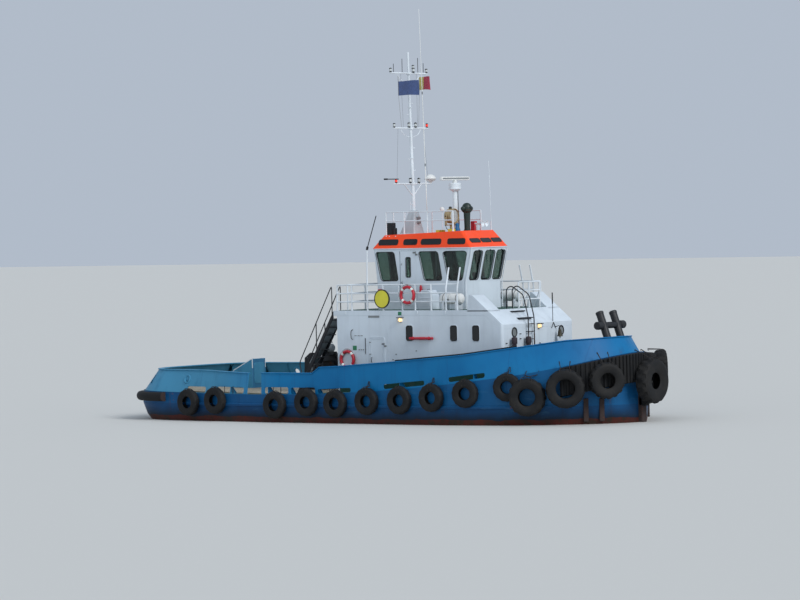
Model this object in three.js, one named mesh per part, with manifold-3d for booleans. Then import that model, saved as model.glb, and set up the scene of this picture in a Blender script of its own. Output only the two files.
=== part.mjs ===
// A harbour tug, about 24 m over its fenders, floating at z = 0.
// Millimetres, +X to the bow, +Y to port, +Z up, origin amidships on the waterline.
import * as THREE from "three";
import { mergeVertices } from "three/addons/utils/BufferGeometryUtils.js";
import Module from "manifold-3d";

const wasm = await Module();
wasm.setup();

// Driving dimensions
const SEAT = 0.3; // gap left between a cut piece and what it sits on
const HALF_BEAM = 3850;
const STERN_X = -11250;
const STEM_X = 10800;
const KEEL_Z = -2900;
const KNUCKLE_Z = 660;
const GATE = { aft: -4730, forward: -4020 }; // side gate in the bulwark
const HOUSE = { aft: -1460, front: 6280, half: 2300, wall: 80, corner: 110 };
const BOAT_DECK_Z = 4200;
const BOAT_DECK_THICK = 200;
const BOAT_DECK_AFT = -1630;
const SLOPE = { topX: 4930, topZ: 4760, footZ: 3660 }; // forward fairings of the house
const FAIRING_IN = 1560; // inner side of the forward fairings
const CABIN = { aft: -370, front: 3800, half: 1190, sill: 5200, top: 6500, lean: 320, leanAft: 150, wall: 70, corner: 120 };
const ROOF = { aft: -100, front: 3620, half: 1030, aftZ: 7030, frontZ: 7150, edge: 20 };
const PROP = { x: -7900, y: 1650, z: -1850, radius: 800 };
const NOZZLE = { front: -7400, back: -8350, inner: 830, outer: 930 };
const RUDDER = { x: -8850, top: -1000, bottom: -2680, ahead: 260, behind: 640, thick: 130 };
const DOOR = {
  house: { aft: 90, forward: 800, bottom: 1400, top: 3180 },
  cabin: { aft: 790, forward: 1530, bottom: 4330, top: 6420 },
};
const WINCH = { x: -4000, z: 1900, half: 560, flange: 460, core: 230 };
const RADAR = { x: 2570, y: 0 };
const MAST = { x: 620, base: 7000, top: 14000, rake: -140, footX: 495 };

const paint = (color, roughness = 0.5, metalness = 0.1) =>
  new THREE.MeshStandardMaterial({ color, roughness, metalness });
const BLUE = paint(0x2a78b8);
const DARK_BLUE = paint(0x1d4f86);
const WHITE = paint(0xe9ecec);
const ORANGE = paint(0xf0552d);
const RUBBER = paint(0x26282a, 0.9, 0);
const BLACK = paint(0x17181a, 0.6, 0.3);
const GLASS = paint(0x24343a, 0.1, 0);
const BRONZE = paint(0xa07a3c, 0.35, 0.9);
const RED = paint(0xc83228, 0.6, 0);
const GREY = paint(0x8d9496);
const GREEN = paint(0x1f4a3c);
const BEIGE = paint(0xb7a27a);
const YELLOW = paint(0xd8c83a);
const FLAG_BLUE = paint(0x2c5a78, 0.9, 0);

const tug = new THREE.Group();

// Solids: a shape is a BufferGeometry, a solid is a manifold
function solid(shape) {
  if (!shape.isBufferGeometry) return shape;
  const bare = shape.index ? shape.toNonIndexed() : shape.clone();
  bare.deleteAttribute("normal");
  bare.deleteAttribute("uv");
  const merged = mergeVertices(bare, 1e-3);
  const vertProperties = merged.attributes.position.array;
  const triVerts = new Uint32Array(merged.index.array);
  const made = new wasm.Manifold(new wasm.Mesh({ numProp: 3, vertProperties, triVerts }));
  if (made.volume() > 0) return made;
  return new wasm.Manifold(new wasm.Mesh({ numProp: 3, vertProperties, triVerts: triVerts.reverse() }));
}

const join = (...shapes) => shapes.flat(Infinity).map(solid).reduce((all, one) => all.add(one));
const cut = (from, ...tools) => tools.flat(Infinity).map(solid).reduce((left, tool) => left.subtract(tool), solid(from));
const common = (a, b) => solid(a).intersect(solid(b));

function geometryOf(shape) {
  if (shape.isBufferGeometry) return shape;
  const mesh = shape.getMesh();
  const geometry = new THREE.BufferGeometry();
  geometry.setAttribute("position", new THREE.BufferAttribute(mesh.vertProperties, 3));
  geometry.setIndex(new THREE.BufferAttribute(mesh.triVerts, 1));
  return geometry;
}

function add(name, shape, material, at = [0, 0, 0]) {
  const geometry = geometryOf(shape);
  geometry.computeVertexNormals();
  const mesh = new THREE.Mesh(geometry, material);
  mesh.name = name;
  mesh.position.set(...at);
  tug.add(mesh);
}

const copy = (shape) => geometryOf(shape).clone();
const moved = (shape, x, y, z) => copy(shape).translate(x, y, z);
const box = (x0, x1, y0, y1, z0, z1) =>
  new THREE.BoxGeometry(x1 - x0, y1 - y0, z1 - z0).translate((x0 + x1) / 2, (y0 + y1) / 2, (z0 + z1) / 2);

// A round bar between two points
function bar(a, b, radius, sides = 6, endRadius = radius) {
  const from = new THREE.Vector3(...a);
  const along = new THREE.Vector3(...b).sub(from);
  const length = along.length();
  const turn = new THREE.Quaternion().setFromUnitVectors(new THREE.Vector3(0, 1, 0), along.normalize());
  return new THREE.CylinderGeometry(endRadius, radius, length, sides)
    .translate(0, length / 2, 0)
    .applyQuaternion(turn)
    .translate(...a);
}
const bars = (points, radius, sides = 4) => points.slice(1).map((p, i) => bar(points[i], p, radius, sides));
const ball = (x, y, z, radius, sides = 8) =>
  new THREE.SphereGeometry(radius, sides, Math.ceil(sides / 2)).translate(x, y, z);

// A flat outline pushed along an axis, its points in the other two axes' order
const shapeOf = (points) => new THREE.Shape(points.map(([a, b]) => new THREE.Vector2(a, b)));
const extrude = (points, depth) => new THREE.ExtrudeGeometry(shapeOf(points), { depth, bevelEnabled: false });
const upright = (points, z0, z1) => extrude(points, z1 - z0).translate(0, 0, z0);
const across = (points, y0, y1) => extrude(points, y1 - y0).rotateX(Math.PI / 2).translate(0, y1, 0);
const lengthwise = (points, x0, x1) =>
  extrude(points.map(([y, z]) => [y, z]), x1 - x0)
    .rotateX(Math.PI / 2)
    .rotateZ(Math.PI / 2)
    .translate(x0, 0, 0);
const lathe = (profile, sides) =>
  new THREE.LatheGeometry(profile.map(([r, z]) => new THREE.Vector2(r, z)), sides).rotateX(Math.PI / 2);

// A rectangle with its own corner radii at the low and high end of the first axis
function roundRect(a0, a1, b0, b1, lowRadius, highRadius = lowRadius, steps = 3) {
  const corners = [
    [a0, b0, lowRadius, 180],
    [a1, b0, highRadius, 270],
    [a1, b1, highRadius, 0],
    [a0, b1, lowRadius, 90],
  ];
  return corners.flatMap(([a, b, radius, start]) => {
    const ca = a + (a === a0 ? radius : -radius);
    const cb = b + (b === b0 ? radius : -radius);
    return Array.from({ length: steps + 1 }, (_, i) => {
      const angle = THREE.MathUtils.degToRad(start + (i * 90) / steps);
      return [ca + radius * Math.cos(angle), cb + radius * Math.sin(angle)];
    });
  });
}

// A closed loft of rings with equal counts, its ends closed by strips from side to side
function loft(rings) {
  const count = rings[0].length;
  const positions = rings.flat().flat();
  const faces = [];
  const face = (a, b, c) => {
    if (a !== b && b !== c && a !== c) faces.push(a, b, c);
  };
  for (let r = 0; r < rings.length - 1; r++) {
    for (let i = 0; i < count; i++) {
      const a = r * count + i;
      const b = r * count + ((i + 1) % count);
      face(a, b, b + count);
      face(a, b + count, a + count);
    }
  }
  const last = (rings.length - 1) * count;
  for (let i = 0; i < count / 2; i++) {
    const [p, q] = [i, i + 1];
    const [s, t] = [(count - i) % count, count - i - 1];
    face(p, t, q);
    face(p, s, t);
    face(last + p, last + q, last + t);
    face(last + p, last + t, last + s);
  }
  const geometry = new THREE.BufferGeometry();
  geometry.setAttribute("position", new THREE.Float32BufferAttribute(positions, 3));
  geometry.setIndex(faces);
  return geometry;
}

// Plan outlines: a level is the boat's outline at one height, seen from above.
// Both ends are superellipses, joined by a nearly straight side.
const DECK = {
  sternX: STERN_X, sternMid: -8800, sternExp: 2.95, sternHalf: 3600,
  half: HALF_BEAM, bowMid: 4400, bowX: STEM_X, bowP: 2, bowQ: 1.8,
};
const RAIL_FOOT = {
  ...DECK, sternX: STERN_X + 25, sternMid: -8740, sternHalf: 3570, half: HALF_BEAM - 30, bowMid: 4450, bowX: 10500,
};

// Port side of a level: s runs 0 to 1 round the stern, to 2 along the side, to 3 round the bow
function planPoint(level, s) {
  if (s <= 1) {
    const t = (s * Math.PI) / 2;
    const power = 2 / level.sternExp;
    const x = level.sternMid - (level.sternMid - level.sternX) * Math.cos(t) ** power;
    return [s === 1 ? level.sternMid : x, s === 0 ? 0 : level.sternHalf * Math.sin(t) ** power];
  }
  if (s <= 2) {
    const f = s - 1;
    const widen = Math.min(f * 4, 1);
    const half = level.sternHalf + (level.half - level.sternHalf) * widen;
    return [level.sternMid + f * (level.bowMid - level.sternMid), half];
  }
  const t = ((3 - s) * Math.PI) / 2;
  const x = level.bowMid + (level.bowX - level.bowMid) * Math.max(Math.cos(t), 0) ** (2 / level.bowP);
  return [x, s === 3 ? 0 : level.half * Math.sin(t) ** (2 / level.bowQ)];
}

// The place on the port side of a level that lies at a given x
function paramAt(level, x) {
  if (x < level.sternMid) {
    const u = (level.sternMid - x) / (level.sternMid - level.sternX);
    return (Math.acos(u ** (level.sternExp / 2)) * 2) / Math.PI;
  }
  if (x <= level.bowMid) return 1 + (x - level.sternMid) / (level.bowMid - level.sternMid);
  const u = (x - level.bowMid) / (level.bowX - level.bowMid);
  return 3 - (Math.acos(u ** (level.bowP / 2)) * 2) / Math.PI;
}

// A point of the outline with its outward normal; side is 1 to port, -1 to starboard
function planFrame(level, s, side = 1) {
  const [x, y] = planPoint(level, s);
  const step = 1e-3;
  const [xa, ya] = planPoint(level, Math.max(s - step, 0));
  const [xb, yb] = planPoint(level, Math.min(s + step, 3));
  let normal = new THREE.Vector2(-(yb - ya), xb - xa).normalize();
  if (s === 0) normal = new THREE.Vector2(-1, 0);
  if (s === 3) normal = new THREE.Vector2(1, 0);
  return { s, x, y: side * y, nx: normal.x, ny: side * normal.y };
}

// The frames of a run from port to starboard round one end of the boat
const aroundFrames = (level, params) => [
  ...params.map((s) => planFrame(level, s)),
  ...params.slice(0, -1).reverse().map((s) => planFrame(level, s, -1)),
];
const steps = (from, to, count) => Array.from({ length: count + 1 }, (_, i) => from + ((to - from) * i) / count);

// A section of [out, up] points carried along frames
function sweep(frames, sectionAt) {
  const rings = frames.map((f, i) => sectionAt(f, i).map(([out, up]) => [f.x + f.nx * out, f.y + f.ny * out, up]));
  const count = rings[0].length;
  const faces = [];
  for (let r = 0; r < rings.length - 1; r++) {
    for (let i = 0; i < count; i++) {
      const a = r * count + i;
      const b = r * count + ((i + 1) % count);
      faces.push(a, b, b + count, a, b + count, a + count);
    }
  }
  const cap = (frame, index) => {
    const contour = sectionAt(frame, index).map(([out, up]) => new THREE.Vector2(out, up));
    return THREE.ShapeUtils.triangulateShape(contour, []).flat();
  };
  const last = rings.length - 1;
  const flip = THREE.ShapeUtils.area(sectionAt(frames[0], 0).map(([a, b]) => new THREE.Vector2(a, b))) < 0;
  const first = cap(frames[0], 0);
  const end = cap(frames[last], last).map((i) => last * count + i);
  faces.push(...(flip ? first : first.slice().reverse()));
  faces.push(...(flip ? end.slice().reverse() : end));
  const geometry = new THREE.BufferGeometry();
  geometry.setAttribute("position", new THREE.Float32BufferAttribute(rings.flat().flat(), 3));
  geometry.setIndex(faces);
  return geometry;
}

// Height of the deck edge, and of the bulwark's cap rail
function deckZ(x) {
  const d = x / 1000 + 4;
  const rise = d > 0 ? 0.0058 * d * d + (d > 11 ? 0.018 * (d - 11) ** 2 : 0) : 0.002 * d * d;
  return 1000 * (1.06 + rise);
}
const RAIL_AFT = [[-11500, 1980], [-7100, 1970], [GATE.aft, 1880]];
const RAIL_FORWARD = [
  [GATE.forward, 1900], [-1540, 1900], [-1200, 2130], [-300, 2170], [2700, 2380],
  [5450, 2600], [7400, 2850], [9100, 3080], [10500, 3160],
];
function heightAt(table, x) {
  const next = Math.max(1, table.findIndex(([tx]) => tx >= x));
  const [[x0, z0], [x1, z1]] = [table[next - 1], table[next]];
  return z0 + ((z1 - z0) * (Math.min(Math.max(x, x0), x1) - x0)) / (x1 - x0);
}

// Hull: one row per level, from the flat of the keel to the knuckle, with the deck edge on top
// z, sternX, sternMid, sternExp, sternHalf, half, bowMid, bowX, bowP, bowQ
const LEVELS = [
  [KEEL_Z, -2600, -1200, 2, 1700, 1900, 2400, 7000, 2, 1.6],
  [-2600, -3600, -2000, 2, 2400, 2650, 2800, 8400, 2, 1.6],
  [-2100, -4800, -3000, 2, 3000, 3250, 3200, 9400, 1.9, 1.6],
  [-1500, -6000, -4200, 2, 3300, 3600, 3600, 10100, 1.8, 1.65],
  [-1000, -7000, -5200, 2.1, 3450, 3740, 4000, 10500, 1.7, 1.62],
  [-700, -8700, -6700, 2.2, 3450, 3780, 4200, 10650, 1.7, 1.63],
  [-350, -10300, -7700, 2.4, 3500, 3800, 4400, 10750, 1.7, 1.65],
  [0, -11090, -8350, 2.7, 3550, 3830, 4400, STEM_X, 1.75, 1.68],
  [KNUCKLE_Z, -11370, -8700, 2.9, 3600, HALF_BEAM, 4400, STEM_X, 1.9, 1.75],
].map(([z, sternX, sternMid, sternExp, sternHalf, half, bowMid, bowX, bowP, bowQ]) => ({
  z, sternX, sternMid, sternExp, sternHalf, half, bowMid, bowX, bowP, bowQ,
}));
const KNUCKLE = LEVELS.at(-1);
const RING = [...steps(0, 1, 8), 1.25, 1.5, 1.75, ...steps(2, 3, 8)];

// The bare hull, larger all round by grow
function bareHull(grow = 0) {
  const grown = (level) => ({
    ...level,
    sternX: level.sternX - grow,
    sternHalf: level.sternHalf + grow,
    half: level.half + grow,
    bowX: level.bowX + grow,
  });
  const ringOf = (level, zAt) => {
    const port = RING.map((s) => planPoint(grown(level), s));
    const starboard = port.slice(1, -1).reverse().map(([x, y]) => [x, -y]);
    return [...port, ...starboard].map(([x, y]) => [x, y, zAt(x)]);
  };
  const rings = LEVELS.map((level) => ringOf(level, () => level.z - (level.z === KEEL_Z ? grow : 0)));
  rings.push(ringOf(DECK, (x) => deckZ(x) + grow));
  return loft(rings);
}

// Half the hull's breadth at a place along its side
function hullHalf(x, z) {
  const halfOf = (level) => planPoint(level, paramAt(level, x))[1];
  const above = LEVELS.findIndex((level) => level.z >= z);
  if (above < 0) {
    const f = (z - KNUCKLE_Z) / (deckZ(x) - KNUCKLE_Z);
    return halfOf(KNUCKLE) + (halfOf(DECK) - halfOf(KNUCKLE)) * f;
  }
  const [low, high] = [LEVELS[above - 1], LEVELS[above]];
  return halfOf(low) + ((halfOf(high) - halfOf(low)) * (z - low.z)) / (high.z - low.z);
}

const SHAFT_BORE = 84;
const SHAFT_END = -7000;
const STOCK_BORE = 84;
const STOCK_END = -560;
function hullSolid() {
  const skeg = across([[-1500, -2900], [-7300, -2900], [-8000, -1500], [-6200, -1000], [-1500, -2200]], -130, 130);
  const bossings = [-1, 1].map((side) =>
    bar([-5200, side * PROP.y, PROP.z + 40], [-7300, side * PROP.y, PROP.z], 300, 12, 170));
  const struts = [-1, 1].map((side) =>
    box(-7280, -6700, side * PROP.y - 45, side * PROP.y + 45, PROP.z, -880));
  const trunks = [-1, 1].map((side) => bar([RUDDER.x, side * PROP.y, -900], [RUDDER.x, side * PROP.y, -400], 150, 12));
  const shaftBores = [-1, 1].map((side) =>
    bar([-7350, side * PROP.y, PROP.z], [SHAFT_END, side * PROP.y, PROP.z], SHAFT_BORE, 12));
  const stockBores = [-1, 1].map((side) =>
    bar([RUDDER.x, side * PROP.y, -950], [RUDDER.x, side * PROP.y, STOCK_END], STOCK_BORE, 12));
  return cut(join(bareHull(), skeg, bossings, struts, trunks), shaftBores, stockBores);
}
const HULL = hullSolid();
const HULL_SEAT = solid(bareHull(SEAT)); // what rests on the hull is cut by this
add("hull", HULL, BLUE);

// Bulwarks: a leaning plate with a flat cap rail and triangular stays inside
const PLATE = 30;
const SUNK = 12; // depth to which the foot is made before the deck cuts it
const CAP = { out: 40, in: 110, thick: 40 };
const STAY = { foot: 380, head: 60, half: 8 };

// How far the cap leans in over the foot
function leanAt(x) {
  if (x < -7500) return 250 + (370 * Math.min(-7500 - x, 3500)) / 3500;
  if (x < GATE.forward) return 120 + (130 * (GATE.forward - x)) / (GATE.forward + 7500);
  return x < 5000 ? 40 : 40 + (390 * (x - 5000)) / 5500;
}

function bulwark(params, table, stayParams) {
  const sectionAt = (f) => {
    const foot = deckZ(f.x) - SUNK;
    const top = heightAt(table, f.x);
    const lean = leanAt(f.x);
    return [
      [0, foot], [-lean, top - CAP.thick], [-lean + CAP.out, top - CAP.thick], [-lean + CAP.out, top],
      [-lean - CAP.in, top], [-lean - CAP.in, top - CAP.thick], [-lean - PLATE, top - CAP.thick], [-PLATE, foot],
    ];
  };
  const wall = sweep(aroundFrames(RAIL_FOOT, params), sectionAt);
  const stays = stayParams.flatMap((s) =>
    [1, -1].map((side) => {
      const f = planFrame(RAIL_FOOT, s, side);
      const ends = [-STAY.half, STAY.half].map((d) => ({ ...f, x: f.x - f.ny * d, y: f.y + f.nx * d }));
      return sweep(ends, () => {
        const foot = deckZ(f.x) - SUNK;
        const top = heightAt(table, f.x) - CAP.thick / 2;
        const lean = leanAt(f.x);
        return [[-PLATE / 2, foot], [-lean - PLATE / 2, top], [-lean - STAY.head - PLATE, top], [-STAY.foot, foot]];
      });
    }));
  return join(wall, stays);
}

const sides = (level, xs) => xs.map((x) => paramAt(level, x));
const THROUGH = HALF_BEAM + 400;
const port = (x0, z0, x1, z1, high) => across([[x0, z0], [x1, z1], [x1, z1 + high], [x0, z0 + high]], -THROUGH, THROUGH);

// Freeing ports: x and z of the two lower corners, then the height
const PORTS_FORWARD = [
  [-3850, 1075, -2700, 1085, 260], [-2580, 1085, -1400, 1110, 240], [-1280, 1110, 300, 1180, 170],
  [1850, 1310, 3750, 1470, 180], [4850, 1590, 6350, 1760, 180],
];
const PORTS_AFT = [[-6300, 1085, -4900, 1075, 250], [-7900, 1100, -6900, 1090, 230]];

const forwardParams = [
  ...sides(RAIL_FOOT, [GATE.forward, -1540, -1200, -300, 2700, 4400]),
  ...steps(2, 3, 8).slice(1),
];
const forwardStays = sides(RAIL_FOOT, [-2640, -1340, 1000, 4300, 7300, 9200]);
const forwardBulwark = cut(
  bulwark(forwardParams, RAIL_FORWARD, forwardStays), HULL_SEAT, PORTS_FORWARD.map((row) => port(...row)),
);
add("bulwark_forward", forwardBulwark, BLUE);

const CHOCK = { x: -8000, z: 1600, hole: 130 };
const aftParams = [...sides(RAIL_FOOT, [GATE.aft, -7100]), ...steps(1, 0, 8)];
const aftStays = sides(RAIL_FOOT, [-6500, -8400, -10250]);
const chocks = [1, -1].map((side) => {
  const f = planFrame(RAIL_FOOT, paramAt(RAIL_FOOT, CHOCK.x), side);
  return bar([f.x, f.y - 400, CHOCK.z], [f.x, f.y + 200, CHOCK.z], CHOCK.hole, 12);
});
const aftBulwark = cut(
  bulwark(aftParams, RAIL_AFT, aftStays), chocks, HULL_SEAT, PORTS_AFT.map((row) => port(...row)),
);
add("bulwark_aft", aftBulwark, BLUE);

// Rubber round the stern, and a ribbed band round the bow
const STERN_FENDER = { low: 740, high: 1090, out: 260, ahead: -9030 };
const sternFender = sweep(aroundFrames(KNUCKLE, steps(paramAt(KNUCKLE, STERN_FENDER.ahead), 0, 8)), () => [
  [-60, STERN_FENDER.low], [-150, STERN_FENDER.high], [STERN_FENDER.out - 90, STERN_FENDER.high],
  [STERN_FENDER.out, STERN_FENDER.high - 90], [STERN_FENDER.out, STERN_FENDER.low + 90],
  [STERN_FENDER.out - 90, STERN_FENDER.low],
]);
add("stern_fender", cut(sternFender, HULL_SEAT), RUBBER);

// A tyre lies flat in z, with its axis upright
const TYRE_SIDE = [[0.8, 1], [1, 0.62]]; // radius and half width, as shares of the whole
const TYRE_BORE = 0.54;
function tyre(diameter, width, sides_) {
  const [r, w] = [diameter / 2, width / 2];
  const lower = TYRE_SIDE.map(([a, b]) => [a * r, -b * w]);
  const upper = TYRE_SIDE.slice().reverse().map(([a, b]) => [a * r, b * w]);
  const bore = [TYRE_BORE * r, 0];
  return lathe([bore, ...lower, ...upper, bore], sides_);
}
// The same tyre hung on edge, facing along its normal
const hungTyre = (diameter, width, sides_, [x, y, z], angle) =>
  tyre(diameter, width, sides_).rotateY(Math.PI / 2).rotateZ(angle).translate(x, y, z);

const BOW_BAND = { high: 30, low: 1080, out: 300, rib: 50 };
const bandParams = steps(paramAt(DECK, 9000), 3, 14);
const bowBand = sweep(aroundFrames(DECK, bandParams), (f, i) => {
  const out = BOW_BAND.out - (i % 2) * BOW_BAND.rib;
  const [low, high] = [deckZ(f.x) - BOW_BAND.low, deckZ(f.x) - BOW_BAND.high];
  return [[-300, low], [-60, high], [out, high], [out, low]];
});
// The stem bar steps out a little below its tyre, so that its lower face is flat and clear
const STEM_BAR = { half: 150, out: 160, step: 145, low: -900, mid: 600, high: 2100 };
const stemBar = [
  box(STEM_X - 400, STEM_X + STEM_BAR.out, -STEM_BAR.half, STEM_BAR.half, STEM_BAR.low, STEM_BAR.high),
  box(STEM_X, STEM_X + STEM_BAR.out + STEM_BAR.step, -STEM_BAR.half, STEM_BAR.half, STEM_BAR.mid, STEM_BAR.high),
];
// Big bow tyres: x, y, z, diameter, width, and the way they face from ahead, in degrees
const BOW_TYRES = [
  [11320, 0, 1510, 1670, 500, 0],
  [10525, 1795, 1850, 1460, 460, 38],
  [10525, -1795, 1595, 1340, 460, -38],
  [9410, 2835, 1345, 1440, 460, 55],
  [9410, -2835, 1345, 1440, 460, -55],
];
const bowTyres = BOW_TYRES.map(([x, y, z, size, width, facing]) =>
  hungTyre(size, width, 16, [x, y, z], THREE.MathUtils.degToRad(facing)));
add("bow_fender", cut(join(bowBand, stemBar, bowTyres), HULL_SEAT), RUBBER);

// Truck tyres along a flat strake: x and z of each
const SIDE_TYRE = { size: 1050, width: 280, sides: 12 };
const SIDE_TYRES = [
  [-7660, 720], [-6220, 810], [-3230, 670], [-1700, 790], [-310, 760],
  [1180, 860], [2710, 910], [4190, 1020], [5680, 1180], [7300, 1410],
];
const STRAKE = { aft: -8350, front: 8700, low: 590, high: 730, out: 130 };
function sideFender(side) {
  const params = [
    ...steps(paramAt(KNUCKLE, STRAKE.aft), 2, 2),
    ...steps(2, paramAt(KNUCKLE, STRAKE.front), 5).slice(1),
  ];
  const strake = sweep(params.map((s) => planFrame(KNUCKLE, s, side)), () => [
    [-60, STRAKE.low], [-60, STRAKE.high], [STRAKE.out, STRAKE.high], [STRAKE.out, STRAKE.low],
  ]);
  const tyres = SIDE_TYRES.map(([x, z]) => {
    const y = side * (Math.max(hullHalf(x, z), hullHalf(x, z + 200)) + SIDE_TYRE.width / 2 + 12);
    const f = planFrame(KNUCKLE, paramAt(KNUCKLE, x), side);
    return hungTyre(SIDE_TYRE.size, SIDE_TYRE.width, SIDE_TYRE.sides, [x, y, z], Math.atan2(f.ny, f.nx));
  });
  tyres.push(hungTyre(1400, 450, 16, [8075, side * 3355, 1045], THREE.MathUtils.degToRad(side * 66)));
  return cut(join(strake, tyres), HULL_SEAT);
}
add("side_fender_starboard", sideFender(-1), RUBBER);
add("side_fender_port", sideFender(1), RUBBER);

// Deckhouse: hollow walls under a roof that overhangs aft and slopes down in front
const slopeX = (z) => HOUSE.front - ((z - SLOPE.footZ) * (HOUSE.front - SLOPE.topX)) / (SLOPE.topZ - SLOPE.footZ);
const housePlan = (inset, aft = HOUSE.aft) =>
  roundRect(aft + inset, HOUSE.front - inset, -HOUSE.half + inset, HOUSE.half - inset, 10, HOUSE.corner - inset);
const ROOF_UNDER = BOAT_DECK_Z - BOAT_DECK_THICK;
const KNEE_X = slopeX(BOAT_DECK_Z) - 150;
const FOOT_UNDER = SLOPE.footZ - 180;
function boatDeck() {
  const slab = across([
    [BOAT_DECK_AFT, ROOF_UNDER], [KNEE_X, ROOF_UNDER], [HOUSE.front, FOOT_UNDER],
    [HOUSE.front, SLOPE.footZ], [slopeX(BOAT_DECK_Z), BOAT_DECK_Z], [BOAT_DECK_AFT, BOAT_DECK_Z],
  ], -HOUSE.half, HOUSE.half);
  const wedge = [
    [SLOPE.topX - 260, BOAT_DECK_Z - 60], [SLOPE.topX - 160, SLOPE.topZ], [SLOPE.topX, SLOPE.topZ],
    [slopeX(BOAT_DECK_Z - 60), BOAT_DECK_Z - 60],
  ];
  const wedges = [across(wedge, FAIRING_IN, HOUSE.half), across(wedge, -HOUSE.half, -FAIRING_IN)];
  return common(join(slab, wedges), upright(housePlan(0, BOAT_DECK_AFT), 3000, 5500));
}

// A door hangs on knuckles that turn just clear of the wall's face, each above a fixed lug
const HINGE = { radius: 15, high: 90, strap: 130, lug: 60 };
const hingeOut = HINGE.radius + SEAT;
const inboard = (side, near, far) => [-side * near, -side * far].sort((a, b) => a - b);
// The moving half about its pin: the leaf runs aft of it, and the strap reaches in by deep
function hingeKnuckle(side, z, deep = 18) {
  const [y0, y1] = inboard(side, 2, deep);
  const { radius, high, strap } = HINGE;
  return [bar([0, 0, z], [0, 0, z + high], radius, 8), box(-strap, 0, y0, y1, z + 15, z + high - 15)];
}
// The fixed half, below the knuckle whose foot is at z
function hingeLug(side, x, y, z, deep = 30) {
  const [y0, y1] = inboard(side, -12, deep);
  const [low, high] = [z - SEAT - HINGE.lug, z - SEAT];
  return [bar([x, y, low], [x, y, high], HINGE.radius, 8), box(x + 2, x + 90, y + y0, y + y1, low, high)];
}
const HOUSE_HINGES = [1600, 2890];
const HOUSE_HINGE_Y = HOUSE.half + hingeOut;
function deckhouse() {
  const shell = cut(upright(housePlan(0), 900, BOAT_DECK_Z), upright(housePlan(HOUSE.wall), 800, BOAT_DECK_Z + 100));
  const past = 100;
  const fall = (past * (ROOF_UNDER - FOOT_UNDER)) / (HOUSE.front - KNEE_X);
  const roofCut = across([
    [BOAT_DECK_AFT - past, ROOF_UNDER - SEAT], [KNEE_X, ROOF_UNDER - SEAT],
    [HOUSE.front + past, FOOT_UNDER - fall - SEAT], [HOUSE.front + past, 5000], [BOAT_DECK_AFT - past, 5000],
  ], -HOUSE.half - past, HOUSE.half + past);
  const d = DOOR.house;
  const doorway = box(d.aft - 16, d.forward + 6, -HOUSE.half - 50, HOUSE.half + 50, d.bottom - 6, d.top + 6);
  const lugs = [-1, 1].map((side) =>
    HOUSE_HINGES.map((z) => hingeLug(side, d.forward, side * HOUSE_HINGE_Y, z)));
  return join(cut(shell, roofCut, doorway, HULL_SEAT), lugs);
}
add("boat_deck", boatDeck(), WHITE);
add("deckhouse", deckhouse(), WHITE);

for (const [name, side] of [["starboard", -1], ["port", 1]]) {
  const d = DOOR.house;
  const [y0, y1] = inboard(side, hingeOut, hingeOut + HOUSE.wall);
  const leaf = box(d.aft - d.forward, -3, y0, y1, 0, d.top - d.bottom);
  const knuckles = HOUSE_HINGES.map((z) => hingeKnuckle(side, z - d.bottom));
  add("deckhouse_door_" + name, join(leaf, knuckles), WHITE, [d.forward, side * HOUSE_HINGE_Y, d.bottom]);
}

// Wheelhouse: upright sides, and ends that lean out above the sill by share times their lean
const cabinRing = (inset, share, z) =>
  roundRect(
    CABIN.aft - CABIN.leanAft * share + inset, CABIN.front + CABIN.lean * share - inset,
    -CABIN.half + inset, CABIN.half - inset,
    Math.max(CABIN.corner - inset, 20), Math.max(CABIN.corner - inset, 20), 1,
  ).map(([x, y]) => [x, y, z]);
const leanShare = (z) => (z - CABIN.sill) / (CABIN.top - CABIN.sill);
const cabinBody = (inset, z0, z1) =>
  loft([cabinRing(inset, 0, z0), cabinRing(inset, 0, CABIN.sill), cabinRing(inset, leanShare(z1), z1)]);
const WINDOW = { low: 5290, high: 6390, radius: 110 };
// Side windows: aft and forward end of each at its foot, then at its head
const SIDE_WINDOWS = [[-130, 690, -390, 510], [1910, 2760, 1650, 2570], [3030, 3690, 2790, 3940]];
const FRONT_WINDOWS = [[-955, -370], [-210, 430], [530, 1100]];
const AFT_WINDOWS = [[-1000, -260], [260, 1000]];
const DOOR_WINDOW = [1050, 1280, 5420, 6180];
function sideHole([x0, x1, top0, top1]) {
  const outline = roundRect(0, 1000, WINDOW.low, WINDOW.high, WINDOW.radius, WINDOW.radius, 2).map(([t, z]) => {
    const f = (z - WINDOW.low) / (WINDOW.high - WINDOW.low);
    const aft = x0 + (top0 - x0) * f;
    const forward = x1 + (top1 - x1) * f;
    return [aft + ((forward - aft) * t) / 1000, z];
  });
  return across(outline, -1700, 1700);
}
const doorHole = ([x0, x1, low, high]) => across(roundRect(x0, x1, low, high, 60, 60, 2), -1700, 1700);
const endHole = (x0, x1) => ([y0, y1]) =>
  lengthwise(roundRect(y0, y1, WINDOW.low, WINDOW.high, WINDOW.radius, WINDOW.radius, 2), x0, x1);
const CABIN_HINGE = 6310;
const CABIN_HINGE_Y = CABIN.half + hingeOut;
const CABIN_STRAP = 45;
function wheelhouse() {
  const shell = cut(cabinBody(0, BOAT_DECK_Z, CABIN.top), cabinBody(CABIN.wall, BOAT_DECK_Z - 50, CABIN.top + 50));
  const d = DOOR.cabin;
  const doorway = box(d.aft - 30, d.forward + 6, -1700, 1700, d.bottom - 6, d.top + 6);
  const walls = cut(
    shell, doorway, SIDE_WINDOWS.map(sideHole),
    FRONT_WINDOWS.map(endHole(3300, 4300)), AFT_WINDOWS.map(endHole(-900, 0)),
  );
  const lugs = [-1, 1].map((side) => hingeLug(side, d.forward, side * CABIN_HINGE_Y, CABIN_HINGE, CABIN_STRAP));
  return join(walls, lugs);
}
add("wheelhouse", wheelhouse(), WHITE);
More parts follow.
